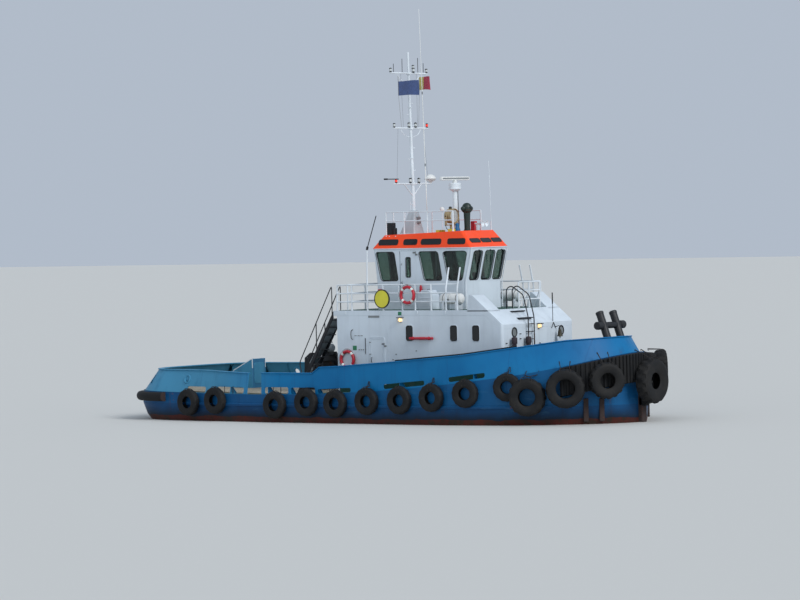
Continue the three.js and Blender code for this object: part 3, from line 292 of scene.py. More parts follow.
def cloth(name, bands):
    """Woven bunting in upright bands: from x, colour."""
    f = Finish(name)
    f.shader.inputs["Sheen Weight"].default_value = 0.2
    x, z = f.axis("x"), f.axis("z")
    warp = f.calc("SINE", f.times(x, 1400))
    weft = f.calc("SINE", f.times(z, 1400))
    color = bands[0][1]
    for start, band in bands[1:]:
        color = f.mix(f.calc("GREATER_THAN", x, start), color, band)
    dull = f.mix(f.step(f.noise(5, detail=4), 0.35, 0.7, 0, 0.25), color, rgb(70, 70, 66))
    return f.done(dull, 0.85, f.times(warp, weft), 0.0015, 0.5)


def rope_fibre():
    f = Finish("rope_fibre")
    twist = f.noise(60, stretch=(1, 1, 1), detail=4)
    base = f.mix(f.step(twist, 0.35, 0.65), rgb(96, 94, 88), rgb(140, 138, 128))
    return f.done(base, 0.85, twist, 0.004, 0.8)


def glow(name, color, power):
    f = Finish(name, Roughness=0.3)
    f.shader.inputs["Emission Color"].default_value = color
    f.shader.inputs["Emission Strength"].default_value = power
    return f.done(color)


HULL_PAINT = hull_paint()
BULWARK_PAINT = bulwark_paint()
BLUE = paint("blue_paint", rgb(16, 98, 150), dirt=0.3)
WHITE = paint("white_paint", rgb(206, 217, 226), rough=0.35, dirt=0.14, rust=0.1, wave=0.12)
WHITE_FINE = paint("white_fittings", rgb(218, 226, 232), rough=0.4, dirt=0.12, rust=0.06, wave=0, size=0.5)
ORANGE = paint("orange_paint", rgb(255, 74, 14), rough=0.35, dirt=0.05, rust=0.02, wave=0.1)
BLACK = paint("black_paint", rgb(17, 20, 26), rough=0.5, dirt=0.25, rust=0.3, wave=0, size=0.5)
GREY = paint("grey_paint", rgb(126, 132, 134), rough=0.45, dirt=0.3, rust=0.25, wave=0, size=0.5)
PALE_GREY = paint("pale_grey_paint", rgb(178, 188, 194), rough=0.4, dirt=0.25, rust=0.1, wave=0, size=0.5)
GREEN = paint("green_paint", rgb(24, 44, 38), rough=0.45, dirt=0.3, rust=0.2, wave=0, size=0.4)
MAROON = paint("maroon_paint", rgb(44, 32, 42), rough=0.55, dirt=0.4, rust=0.4, wave=0, size=0.4)
BEIGE = paint("beige_paint", rgb(168, 148, 112), rough=0.5, dirt=0.4, rust=0.3, wave=0, size=0.3)
YELLOW = paint("yellow_paint", rgb(216, 208, 62), rough=0.45, dirt=0.2, rust=0.1, wave=0, size=0.3)
SIGN_GREEN = paint("sign_green", rgb(36, 122, 84), dirt=0.2, rust=0.1, wave=0, size=0.3)
BOTTOM = paint("bottom_paint", rgb(84, 34, 28), rough=0.7, dirt=0.6, rust=0.4, wave=0.1)
RED = paint("red_plastic", rgb(184, 34, 52), rough=0.4, dirt=0.2, rust=0, wave=0, size=0.3)
WHITE_PLASTIC = paint("white_plastic", rgb(226, 228, 226), rough=0.3, dirt=0.2, rust=0, wave=0, size=0.4)
DECK_GREEN = deck_paint("deck_green", rgb(28, 74, 62))
PLANKS = planking()
TYRE = rubber("tyre_rubber", rgb(17, 18, 20), dust=0.25)
BAND = rubber("band_rubber", rgb(14, 16, 19), dust=0.16)
RUSTY = metal("rusty_steel", rgb(58, 46, 44), rough=0.75, metallic=0.2, rust=0.7)
STEEL = metal("galvanised_steel", rgb(132, 136, 138), rough=0.45, metallic=0.8, rust=0.45)
CHAIN = metal("chain_steel", rgb(58, 54, 52), rough=0.6, metallic=0.6, rust=0.5)
BRONZE = metal("bronze", rgb(170, 128, 70), rough=0.32, rust=0)
BRASS = metal("brass", rgb(62, 60, 48), rough=0.5, metallic=0.5, rust=0)
GLASS = glass("window_glass", rgb(140, 162, 152))
# dark glass for the screens and the binnacle window; on the small windows its near-black is painted shade for
# the unlit rooms behind them
DARK_GLASS_AND_PAINTED_SHADE = Finish("dark_glass_and_painted_shade", Roughness=0.12, IOR=1.5).done(rgb(14, 20, 24))
GASKET = Finish("gasket", Roughness=0.7).done(rgb(22, 23, 24))
LINING = Finish("cabin_lining", Roughness=0.6).done(rgb(150, 150, 142))
ROPE = rope_fibre()
WARM_LAMP = glow("warm_lamp", rgb(255, 214, 150), 1.6)
RED_LAMP = glow("red_lamp", rgb(220, 50, 30), 0.6)
LAMP_GLASS = Finish("lamp_glass", Roughness=0.15).done(rgb(190, 196, 196))


# Shapes: each is (points, faces)
def frange(a, b, n):
    return [a + (b - a) * i / n for i in range(n)] + [b]


def merge(*shapes):
    points, faces = [], []
    for p, f in shapes:
        base = len(points)
        points += list(p)
        faces += [[base + i for i in face] for face in f]
    return points, faces


def moved(shape, at=(0, 0, 0), turn=None):
    m = Matrix.Translation(at) @ (turn or Matrix.Identity(4))
    return [m @ Vector(p) for p in shape[0]], shape[1]


def rot(axis, degrees):
    return Matrix.Rotation(math.radians(degrees), 4, axis)


def turn_to(nx, ny):
    """Turns +X to an outward normal in plan."""
    return rot("Z", math.degrees(math.atan2(ny, nx)))


def circle(sides, radius=1.0):
    return [(radius * math.cos(t), radius * math.sin(t)) for t in frange(0, 2 * pi, sides)[:-1]]


TO_X, TO_Y = rot("Y", 90), rot("X", -90)


def face_out(mesh):
    bm = bmesh.new()
    bm.from_mesh(mesh)
    bmesh.ops.recalc_face_normals(bm, faces=bm.faces)
    bm.to_mesh(mesh)
    bm.free()


def through_bmesh(shape, work):
    bm = bmesh.new()
    points = [bm.verts.new(p) for p in shape[0]]
    for f in shape[1]:
        bm.faces.new([points[i] for i in f])
    bmesh.ops.recalc_face_normals(bm, faces=bm.faces)
    work(bm)
    bm.verts.index_update()
    made = [v.co.copy() for v in bm.verts], [[v.index for v in f.verts] for f in bm.faces]
    bm.free()
    return made


def bevel(shape, width, segments=1, angle=25):
    def work(bm):
        edges = [e for e in bm.edges if e.is_manifold and e.calc_face_angle(0) > math.radians(angle)]
        bmesh.ops.bevel(
            bm, geom=edges, offset=width, segments=segments, profile=0.5, affect="EDGES", clamp_overlap=True,
        )

    return through_bmesh(shape, work)


def block(x0, x1, y0, y1, z0, z1, edge=0.0, segments=1):
    points = [(x, y, z) for z in (z0, z1) for x, y in ((x0, y0), (x1, y0), (x1, y1), (x0, y1))]
    faces = [[3, 2, 1, 0], [4, 5, 6, 7], [0, 1, 5, 4], [1, 2, 6, 5], [2, 3, 7, 6], [3, 0, 4, 7]]
    return bevel((points, faces), edge, segments) if edge else (points, faces)


def side_block(side, x0, x1, y0, y1, z0, z1, edge=0.0):
    """A block whose distances from the centreline are given, to port or starboard."""
    return block(x0, x1, *sorted((side * y0, side * y1)), z0, z1, edge)


def tube_faces(n):
    """The faces between two rings of n points, and those that close its ends."""
    faces = [[i, (i + 1) % n, n + (i + 1) % n, n + i] for i in range(n)]
    return faces + [list(range(n))[::-1], list(range(n, 2 * n))]


def prism(outline, low, high, axis="z", edge=0.0):
    """A flat outline pushed along an axis, its points in the other two axes' order."""
    order = {"x": (2, 0, 1), "y": (0, 2, 1), "z": (0, 1, 2)}[axis]
    points = [tuple((a, b, c)[k] for k in order) for c in (low, high) for a, b in outline]
    shape = points, tube_faces(len(outline))
    return bevel(shape, edge) if edge else shape


def lathe(profile, sides=24, closed=False, axis="z"):
    """Rings of (radius, height) turned about an axis."""
    points, rows, faces = [], [], []
    for r, h in profile:
        if r < 1e-6:
            rows.append([len(points)] * sides)
            points.append((0, 0, h))
        else:
            rows.append(range(len(points), len(points) + sides))
            points += [(a, b, h) for a, b in circle(sides, r)]
    for a, b in zip(rows, rows[1:] + (rows[:1] if closed else [])):
        for i in range(sides):
            j = (i + 1) % sides
            face = list(dict.fromkeys([a[i], a[j], b[j], b[i]]))
            if len(face) > 2:
                faces.append(face)
    if not closed:
        faces += [list(row) for row, (r, h) in ((rows[0], profile[0]), (rows[-1], profile[-1])) if r >= 1e-6]
    turn = {"x": TO_X, "y": TO_Y, "z": Matrix.Identity(4)}[axis]
    return [turn @ Vector(p) for p in points], faces


def tube(path, radius, sides=8, end_radius=None, closed=False):
    """A round bar along a path."""
    path = [Vector(p) for p in path]
    n = len(path)
    end_radius = radius if end_radius is None else end_radius
    points, faces, side = [], [], None
    for i, p in enumerate(path):
        if closed:
            before, after = path[i - 1], path[(i + 1) % n]
        else:
            before, after = path[max(i - 1, 0)], path[min(i + 1, n - 1)]
        ahead = (after - before).normalized()
        if side is None:
            side = ahead.orthogonal()
        side = (side - ahead * side.dot(ahead)).normalized()
        other = ahead.cross(side)
        into, out = (p - before).normalized(), (after - p).normalized()
        bend = into.dot(out) if into.length > 0 and out.length > 0 else 1
        wide = min(1 / math.sqrt(max((1 + bend) / 2, 0.1)), 1.6)
        r = (radius + (end_radius - radius) * i / max(n - 1, 1)) * (wide if bend < 0.9999 else 1)
        points += [p + side * a + other * b for a, b in circle(sides, r)]
    for i in range(n if closed else n - 1):
        for k in range(sides):
            a, b = i * sides, ((i + 1) % n) * sides
            faces.append([a + k, a + (k + 1) % sides, b + (k + 1) % sides, b + k])
    if not closed:
        faces += [list(range(sides))[::-1], list(range((n - 1) * sides, n * sides))]
    return points, faces


def bent(path, radius, n=4):
    """A path with its corners rounded."""
    path = [Vector(p) for p in path]
    made = [path[0]]
    for a, b, c in zip(path, path[1:], path[2:]):
        r = min(radius, (b - a).length * 0.45, (c - b).length * 0.45)
        p, q = b + (a - b).normalized() * r, b + (c - b).normalized() * r
        made += [p * (1 - t) ** 2 + b * (2 * t * (1 - t)) + q * t * t for t in frange(0, 1, n)]
    return made + [path[-1]]


def round_rect(a0, a1, b0, b1, radius, steps=4, lean=0.0):
    corners = [(a0, b0, 180), (a1, b0, 270), (a1, b1, 0), (a0, b1, 90)]
    made = []
    for a, b, start in corners:
        ca, cb = a + (radius if a == a0 else -radius), b + (radius if b == b0 else -radius)
        for i in range(steps + 1):
            t = math.radians(start + 90 * i / steps)
            u, v = ca + radius * math.cos(t), cb + radius * math.sin(t)
            made.append((u + lean * (v - b0), v))
    return made


def loft(rings, top=True, bottom=True):
    """A skin over rings with equal counts, its ends closed from side to side."""
    n = len(rings[0])
    points = [p for ring in rings for p in ring]
    faces = []
    for r in range(len(rings) - 1):
        for i in range(n):
            a, b = r * n + i, r * n + (i + 1) % n
            faces.append([a, b, b + n, a + n])
    for last, closed in ((0, bottom), ((len(rings) - 1) * n, top)):
        if closed:
            faces.append([last + i for i in range(n)])
    return points, faces


def patch(surface, outline, low, high):
    """A plate on a surface: surface(a, b) gives a point and the way out of it."""
    made = []
    for out in (low, high):
        for a, b in outline:
            p, normal = surface(a, b)
            made.append(Vector(p) + Vector(normal) * out)
    return made, tube_faces(len(outline))


def rim(surface, outline, radius, out=0.0, sides=6):
    path = [Vector(surface(a, b)[0]) + Vector(surface(a, b)[1]) * out for a, b in outline]
    return tube(path, radius, sides, closed=True)


def carve(shape, cutters, operation="DIFFERENCE"):
    """Cuts one closed shape with others."""
    def temporary(s):
        mesh = bpy.data.meshes.new("cut")
        mesh.from_pydata([tuple(p) for p in s[0]], [], s[1])
        obj = linked("cut", mesh)
        face_out(mesh)
        return obj

    a, b = temporary(shape), temporary(merge(*cutters))
    modifier = a.modifiers.new("cut", "BOOLEAN")
    modifier.operation, modifier.solver, modifier.object, modifier.use_self = operation, "EXACT", b, True
    result = a.evaluated_get(bpy.context.evaluated_depsgraph_get()).to_mesh()
    made = [v.co.copy() for v in result.vertices], [list(p.vertices) for p in result.polygons]
    for o in (a, b):
        mesh = o.data
        bpy.data.objects.remove(o)
        bpy.data.meshes.remove(mesh)
    return made


class Piece:
    """Shapes gathered into one mesh, each with its finish."""

    def __init__(self):
        self.points, self.faces, self.finishes, self.marks = [], [], [], []

    def add(self, finish, *shapes):
        if finish not in self.finishes:
            self.finishes.append(finish)
        for points, faces in shapes:
            base = len(self.points)
            self.points += [tuple(p) for p in points]
            self.faces += [[base + i for i in f] for f in faces]
            self.marks += [self.finishes.index(finish)] * len(faces)
        return self

    def done(self, name, slot, replaces=None, body="root", sharp=35):
        mesh = bpy.data.meshes.new(name)
        mesh.from_pydata(self.points, [], self.faces)
        for finish in self.finishes:
            mesh.materials.append(finish)
        mesh.polygons.foreach_set("material_index", self.marks)
        face_out(mesh)
        mesh.polygons.foreach_set("use_smooth", [True] * len(mesh.polygons))
        mesh.set_sharp_from_angle(angle=math.radians(sharp))
        obj = linked(name, mesh)
        weighted = obj.modifiers.new("weighted", "WEIGHTED_NORMAL")
        weighted.keep_sharp = True
        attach(obj, body)
        if replaces:
            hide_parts(*([replaces] if isinstance(replaces, str) else replaces))
        return obj


# Hull lines, from the same values as the solids
STERN_X, STEM_X, KEEL_Z, KNUCKLE_Z = -11.25, 10.8, -2.9, 0.66
# An outline: the stern's end, its middle and exponent, half the breadth aft and amidships, then the bow's
# middle, its end and its two exponents
DECK = (STERN_X, -8.8, 2.95, 3.6, 3.85, 4.4, STEM_X, 2, 1.8)
RAIL_FOOT = (STERN_X + 0.025, -8.74, 2.95, 3.57, 3.82, 4.45, 10.5, 2, 1.8)
LEVELS = [
    (KEEL_Z, (-2.6, -1.2, 2, 1.7, 1.9, 2.4, 7.0, 2, 1.6)),
    (-2.6, (-3.6, -2.0, 2, 2.4, 2.65, 2.8, 8.4, 2, 1.6)),
    (-2.1, (-4.8, -3.0, 2, 3.0, 3.25, 3.2, 9.4, 1.9, 1.6)),
    (-1.5, (-6.0, -4.2, 2, 3.3, 3.6, 3.6, 10.1, 1.8, 1.65)),
    (-1.0, (-7.0, -5.2, 2.1, 3.45, 3.74, 4.0, 10.5, 1.7, 1.62)),
    (-0.7, (-8.7, -6.7, 2.2, 3.45, 3.78, 4.2, 10.65, 1.7, 1.63)),
    (-0.35, (-10.3, -7.7, 2.4, 3.5, 3.8, 4.4, 10.75, 1.7, 1.65)),
    (0.0, (-11.09, -8.35, 2.7, 3.55, 3.83, 4.4, STEM_X, 1.75, 1.68)),
    (KNUCKLE_Z, (-11.37, -8.7, 2.9, 3.6, 3.85, 4.4, STEM_X, 1.9, 1.75)),
]
KNUCKLE = LEVELS[-1][1]


def plan_point(level, s):
    """Port side of a level: s runs 0 to 1 round the stern, to 2 along the side, to 3 round the bow."""
    stern_x, stern_mid, stern_exp, stern_half, half, bow_mid, bow_x, p, q = level
    if s <= 1:
        t = s * pi / 2
        x = stern_mid - (stern_mid - stern_x) * max(math.cos(t), 0) ** (2 / stern_exp)
        return x, stern_half * math.sin(t) ** (2 / stern_exp)
    if s <= 2:
        y = stern_half + (half - stern_half) * min((s - 1) * 4, 1)
        return stern_mid + (s - 1) * (bow_mid - stern_mid), y
    t = max(3 - s, 0) * pi / 2
    return bow_mid + (bow_x - bow_mid) * max(math.cos(t), 0) ** (2 / p), half * math.sin(t) ** (2 / q)


def param_at(level, x):
    stern_x, stern_mid, stern_exp, _, _, bow_mid, bow_x, p, _ = level
    if x < stern_mid:
        return math.acos(min(((stern_mid - x) / (stern_mid - stern_x)) ** (stern_exp / 2), 1)) * 2 / pi
    if x <= bow_mid:
        return 1 + (x - stern_mid) / (bow_mid - stern_mid)
    return 3 - math.acos(min(((x - bow_mid) / (bow_x - bow_mid)) ** (p / 2), 1)) * 2 / pi


def plan_frame(level, s, side=1):
    """x, y and the outward normal of an outline at s."""
    x, y = plan_point(level, s)
    xa, ya = plan_point(level, max(s - 1e-3, 0))
    xb, yb = plan_point(level, min(s + 1e-3, 3))
    n = Vector((-(yb - ya), xb - xa)).normalized()
    if s in (0, 3):
        n = Vector((-1 if s == 0 else 1, 0))
    return x, side * y, n.x, side * n.y


def around(level, params):
    """Frames from port to starboard round one end of the boat."""
    return [plan_frame(level, s) for s in params] + [plan_frame(level, s, -1) for s in params[-2::-1]]


def sweep(frames, section_at):
    rings = [
        [(x + nx * out, y + ny * out, up) for out, up in section_at((x, y, nx, ny))]
        for x, y, nx, ny in frames
    ]
    return loft(rings)


def deck_z(x):
    d = x + 4
    return 1.06 + (0.0058 * d * d + (0.018 * (d - 11) ** 2 if d > 11 else 0) if d > 0 else 0.002 * d * d)


def table_at(table, x):
    for (x0, z0), (x1, z1) in zip(table, table[1:]):
        if x <= x1:
            break
    return z0 + (z1 - z0) * (min(max(x, x0), x1) - x0) / (x1 - x0)


def level_at(z):
    """The outline at a height, on a smooth curve through the given levels."""
    i = next((k for k in range(1, len(LEVELS)) if LEVELS[k][0] >= z), len(LEVELS) - 1)
    (z0, a), (z1, b) = LEVELS[i - 1], LEVELS[i]
    t = (z - z0) / (z1 - z0)

    def slope(k, j):
        lo, hi = max(k - 1, 0), min(k + 1, len(LEVELS) - 1)
        return (LEVELS[hi][1][j] - LEVELS[lo][1][j]) / (LEVELS[hi][0] - LEVELS[lo][0]) * (z1 - z0)

    def value(j):
        h = t * t * (3 - 2 * t)
        return a[j] * (1 - h) + b[j] * h + slope(i - 1, j) * t * (1 - t) ** 2 - slope(i, j) * t * t * (1 - t)

    return tuple(value(j) for j in range(9))


def half_at(level, x):
    return plan_point(level, param_at(level, x))[1]


def hull_half(x, z):
    """Half the solid hull's breadth at a place along its side."""
    if z > KNUCKLE_Z:
        f = (z - KNUCKLE_Z) / (deck_z(x) - KNUCKLE_Z)
        return half_at(KNUCKLE, x) * (1 - f) + half_at(DECK, x) * f
    (z0, a), (z1, b) = next((p, q) for p, q in zip(LEVELS, LEVELS[1:]) if q[0] >= z)
    return half_at(a, x) + (half_at(b, x) - half_at(a, x)) * (z - z0) / (z1 - z0)


PROP_X, PROP_Y, PROP_Z = -7.9, 1.65, -1.85
RUDDER_X = -8.85
RING = frange(0, 1, 22) + frange(1, 2, 16)[1:] + frange(2, 3, 28)[1:]


def make_hull():
    piece = Piece()

    def ring(level, z_at):
        port = [plan_point(level, s) for s in RING]
        return [(x, y, z_at(x)) for x, y in port] + [(x, -y, z_at(x)) for x, y in port[-2:0:-1]]

    heights = [z0 + (z1 - z0) * k / 3 for (z0, _), (z1, _) in zip(LEVELS, LEVELS[1:]) for k in range(3)]
    rings = [ring(level_at(z), lambda x, z=z: z) for z in heights] + [ring(KNUCKLE, lambda x: KNUCKLE_Z)]
    top = ring(DECK, deck_z)
    rings += [[tuple(Vector(a).lerp(Vector(b), k / 3)) for a, b in zip(rings[-1], top)] for k in (1, 2, 3)]
    n = len(top)
    skin, faces = loft(rings, top=False, bottom=False)
    last = len(skin) - n
    deck = []
    for i in range(n // 2):
        strip = [i, i + 1, (n - i - 1) % n, (n - i) % n]
        faces.append(list(dict.fromkeys(strip)))
        deck.append([last + k for k in dict.fromkeys(strip)])
    piece.add(HULL_PAINT, (skin, faces))
    piece.faces += deck
    piece.finishes.append(DECK_GREEN)
    piece.marks += [1] * len(deck)
    skeg = [(-1.5, -2.9), (-7.3, -2.9), (-8, -1.5), (-6.2, -1), (-1.5, -2.2)]
    piece.add(BOTTOM, prism(skeg, -0.13, 0.13, "y", 0.05))
    for side in (-1, 1):
        y = side * PROP_Y
        bossing = [(-5.2, y, PROP_Z + 0.04), (-6.6, y, PROP_Z + 0.013), (-7.3, y, PROP_Z)]
        piece.add(BOTTOM, tube(bossing, 0.3, 24, 0.17))
        piece.add(BRONZE, tube([(-7.3, y, PROP_Z), (-7.34, y, PROP_Z)], 0.13, 24))
        fin = [
            (-7.28, 0), (-7.2, 0.035), (-7.0, 0.045), (-6.8, 0.035), (-6.7, 0), (-6.8, -0.035), (-7, -0.045),
            (-7.2, -0.035),
        ]
        piece.add(
            BOTTOM,
            moved(prism(fin, PROP_Z, -0.88), (0, y, 0)),
            tube([(RUDDER_X, y, -0.9), (RUDDER_X, y, -0.4)], 0.15, 24),
        )
        for x, z in ((-2.2, -2.2), (-0.4, -2.35), (1.4, -2.3)):
            out = side * hull_half(x, z)
            anode = block(x - 0.45, x + 0.45, out - 0.04, out + 0.04, z - 0.06, z + 0.06, 0.02)
            piece.add(STEEL, anode)
        halves = [(x, hull_half(x, -1.5 - 0.02 * k)) for k, x in enumerate(frange(-3, 4, 14))]
        bilge = [(x, side * (half + 0.02), -1.5) for x, half in halves]
        piece.add(BOTTOM, tube(bilge, 0.05, 8))
    return piece.done("hull_plating", "blue_paint", "hull")


def make_planking():
    rings = []
    for x in frange(-10.5, -1.95, 30):
        w, z = half_at(RAIL_FOOT, x) - 0.42, deck_z(x)
        rings.append([(x, -w, z - 0.02), (x, w, z - 0.02), (x, w, z + 0.03), (x, -w, z + 0.03)])
    return Piece().add(PLANKS, loft(rings)).done("deck_planking", "beige_paint")


# Bulwarks
GATE_AFT, GATE_FORWARD = -4.73, -4.02
# Where along the boat, and the height of the cap rail there
RAIL_AFT = [(-11.5, 1.98), (-7.1, 1.97), (GATE_AFT, 1.88)]
RAIL_FORWARD = [
    (GATE_FORWARD, 1.9), (-1.54, 1.9), (-1.2, 2.13), (-0.3, 2.17), (2.7, 2.38), (5.45, 2.6), (7.4, 2.85),
    (9.1, 3.08), (10.5, 3.16),
]
# A freeing port: both ends of its lower edge as x and height, then its own height
PORTS_FORWARD = [
    (-3.85, 1.075, -2.7, 1.085, 0.26), (-2.58, 1.085, -1.4, 1.11, 0.24), (-1.28, 1.11, 0.3, 1.18, 0.17),
    (1.85, 1.31, 3.75, 1.47, 0.18), (4.85, 1.59, 6.35, 1.76, 0.18),
]
PORTS_AFT = [(-6.3, 1.085, -4.9, 1.075, 0.25), (-7.9, 1.1, -6.9, 1.09, 0.23)]
CHOCK_X, CHOCK_Z = -8.0, 1.6


def lean_at(x):
    """How far the cap leans in over the foot."""
    if x < -7.5:
        return 0.25 + 0.37 * min(-7.5 - x, 3.5) / 3.5
    if x < GATE_FORWARD:
        return 0.12 + 0.13 * (GATE_FORWARD - x) / (GATE_FORWARD + 7.5)
    return 0.04 if x < 5 else 0.04 + 0.39 * (x - 5) / 5.5


def freeing_port(x0, z0, x1, z1, high):
    outline = round_rect(0, x1 - x0, 0, high, min(0.07, high * 0.4), 4)
    return prism([(x0 + a, z0 + b + (z1 - z0) * a / (x1 - x0)) for a, b in outline], -4.3, 4.3, "y")


def bulwark_face(table, side, inner=False):
    """The bulwark's outer or inner face by x and height, with the way out of it."""
    def at(x, z):
        fx, fy, nx, ny = plan_frame(RAIL_FOOT, param_at(RAIL_FOOT, x), side)
        foot, top = deck_z(x), table_at(table, x)
        lean = lean_at(x)
        out = -lean * (z - foot) / (top - 0.04 - foot) - (0.03 if inner else 0)
        normal = Vector((nx, ny, lean / (top - foot))).normalized()
        return Vector((fx + nx * out, fy + ny * out, z)), -normal if inner else normal

    return at


def make_bulwark(table, params, stay_xs, ports, holes=()):
    def section(f):
        foot, top, lean = deck_z(f[0]) - 0.012, table_at(table, f[0]), lean_at(f[0])
        return [
            (0, foot), (-lean, top - 0.04), (-lean + 0.03, top - 0.04), (-lean + 0.04, top - 0.03),
            (-lean + 0.04, top - 0.01), (-lean + 0.03, top), (-lean - 0.1, top), (-lean - 0.11, top - 0.01),
            (-lean - 0.11, top - 0.03), (-lean - 0.1, top - 0.04), (-lean - 0.03, top - 0.04), (-0.03, foot),
        ]

    cutters = [freeing_port(*row) for row in ports] + list(holes)
    piece = Piece().add(BULWARK_PAINT, carve(sweep(around(RAIL_FOOT, params), section), cutters))
    for x in stay_xs:
        for side in (1, -1):
            fx, fy, nx, ny = plan_frame(RAIL_FOOT, param_at(RAIL_FOOT, x), side)
            foot, top, lean = deck_z(x) - 0.01, table_at(table, x) - 0.03, lean_at(x)
            web = [
                (-0.015, foot), (-lean - 0.015, top), (-lean - 0.09, top), (-0.16, foot + 0.3),
                (-0.38, foot + 0.04), (-0.38, foot),
            ]
            lip = [(-lean - 0.09, top), (-0.16, foot + 0.3), (-0.38, foot + 0.04)]
            flange = lip + [(o + 0.01, z - 0.012) for o, z in reversed(lip)]
            for section, half in ((web, 0.007), (flange, 0.035)):
                ends = [(fx - ny * d, fy + nx * d) for d in (-half, half)]
                rings = [[(ex + nx * o, ey + ny * o, z) for o, z in section] for ex, ey in ends]
                piece.add(BULWARK_PAINT, loft(rings))
    return piece


def port_bar(piece, p, side, lean, high):
    """An upright bar across a freeing port."""
    ends = p - Vector((0, side * 0.015, 0.02)), p + Vector((0, -side * lean, high + 0.02))
    piece.add(BLACK, tube(ends, 0.014, 6))


def sides_at(xs):
    return [param_at(RAIL_FOOT, x) for x in xs]


def make_bulwarks():
    xs = [
        GATE_FORWARD, -3.6, -3.2, -2.8, -2.4, -2, -1.54, -1.43, -1.31, -1.2, -0.75, -0.3, 0.3, 0.9, 1.5, 2.1,
        2.7, 3.3, 3.9, 4.4,
    ]
    params = sides_at(xs) + frange(2, 3, 30)[1:]
    stays = [-3.7, -2.64, -1.34, 1.0, 2.6, 4.3, 5.9, 7.3, 9.2]
    piece = make_bulwark(RAIL_FORWARD, params, stays, PORTS_FORWARD)
    for side in (1, -1):
        face = bulwark_face(RAIL_FORWARD, side)
        pipe = [face(x, table_at(RAIL_FORWARD, x))[0] + Vector((0, 0, 0.024)) for x in frange(2.4, 7.5, 16)]
        piece.add(BAND, tube(pipe, 0.024, 8))
        for row in PORTS_FORWARD[:3]:
            for f in (0.36, 0.68):
                x, z = row[0] + (row[2] - row[0]) * f, row[1] + (row[3] - row[1]) * f
                port_bar(piece, face(x, z)[0], side, 0.02, row[4])
    piece.done("bulwark_forward_plating", "blue_paint", "bulwark_forward")

    holes = []
    for side in (1, -1):
        x, y, _, _ = plan_frame(RAIL_FOOT, param_at(RAIL_FOOT, CHOCK_X), side)
        holes.append(moved(tube([(0, -0.4, 0), (0, 0.2, 0)], 0.13, 24), (x, y, CHOCK_Z)))
    params = sides_at([GATE_AFT, -5.2, -5.7, -6.2, -6.7, -7.1, -7.6, -8.1]) + frange(1, 0, 26)
    piece = make_bulwark(RAIL_AFT, params, [-5.6, -6.6, -8.4, -9.4, -10.25, -10.95], PORTS_AFT, holes)
    for side in (1, -1):
        face = bulwark_face(RAIL_AFT, side)
        rim_path = [face(CHOCK_X + a, CHOCK_Z + b) for a, b in circle(28, 0.145)]
        piece.add(
            BULWARK_PAINT,
            tube([p for p, _ in rim_path], 0.04, 8, closed=True),
            tube([p - n * 0.03 for p, n in rim_path], 0.04, 8, closed=True),
        )
        for f in (0.3, 0.62):
            row = PORTS_AFT[0]
            port_bar(piece, face(row[0] + (row[2] - row[0]) * f, row[1])[0], side, 0.03, row[4])
    piece.done("bulwark_aft_plating", "blue_paint", "bulwark_aft")


# Tyres and rubber
# Radius and half width, as shares of the whole, from bead to tread and back inside
TYRE_OUT = [
    (0.0, 0.62), (0.1, 0.76), (0.4, 0.88), (0.7, 0.965), (0.77, 1.0), (0.85, 0.97), (0.92, 0.86),
    (0.965, 0.74), (0.985, 0.6), (1.0, 0.3),
]
TYRE_IN = [(0.93, 0.45), (0.89, 0.72), (0.8, 0.86), (0.68, 0.84), (0.3, 0.7)]


def tyre(size, width, sides=48, lug=0, deep=0.05, bore=0.44):
    """A hollow tyre, its axis upright. A lug takes up that many of the sides, with a groove after it."""
    r, w = size / 2, width / 2
    side = [(a if a > 0.75 else bore + (0.72 - bore) * a, b) for a, b in TYRE_OUT]
    lining = [(a if a > 0.75 else bore + (0.72 - bore) * a, b) for a, b in TYRE_IN]
    loop = side + [(a, -b) for a, b in side[::-1]] + [(a, -b) for a, b in lining[::-1]] + lining
    points, n = [], len(loop)
    for i in range(sides):
        t = 2 * pi * i / sides
        for a, b in loop:
            upper = b > 0
            place = (i + (0 if upper else lug)) % (2 * lug) if lug else 0
            sunk = deep if lug and place >= lug and a > 0.95 else 0
            k = (a - sunk) * r
            points.append((k * math.cos(t), k * math.sin(t), b * w * (0.97 if sunk else 1)))
    faces = []
    for i in range(sides):
        for j in range(n):
            a, b = i * n, ((i + 1) % sides) * n
            faces.append([a + j, b + j, b + (j + 1) % n, a + (j + 1) % n])
    return points, faces


def hung(shape, at, facing):
    """Turns an upright axis to face outward at an angle from ahead."""
    return moved(shape, at, rot("Z", facing) @ rot("Y", 90))


# The middle of each, its size, width and angle from ahead, and its bore's share of the size
BOW_TYRES = [
    (11.32, 0, 1.51, 1.67, 0.5, 0, 0.36), (10.525, 1.795, 1.85, 1.46, 0.46, 38, 0.42),
    (10.525, -1.795, 1.595, 1.34, 0.46, -38, 0.42), (9.41, 2.835, 1.345, 1.44, 0.46, 55, 0.48),
    (9.41, -2.835, 1.345, 1.44, 0.46, -55, 0.48),
]
SIDE_TYRES = [
    (-7.66, 0.72), (-6.22, 0.81), (-3.23, 0.67), (-1.7, 0.79), (-0.31, 0.76), (1.18, 0.86), (2.71, 0.91),
    (4.19, 1.02), (5.68, 1.18), (7.3, 1.41),
]


def facing_axes(facing):
    """The ways outward and along, for an angle from ahead."""
    out = Vector((math.cos(math.radians(facing)), math.sin(math.radians(facing)), 0))
    return out, Vector((-out.y, out.x, 0))


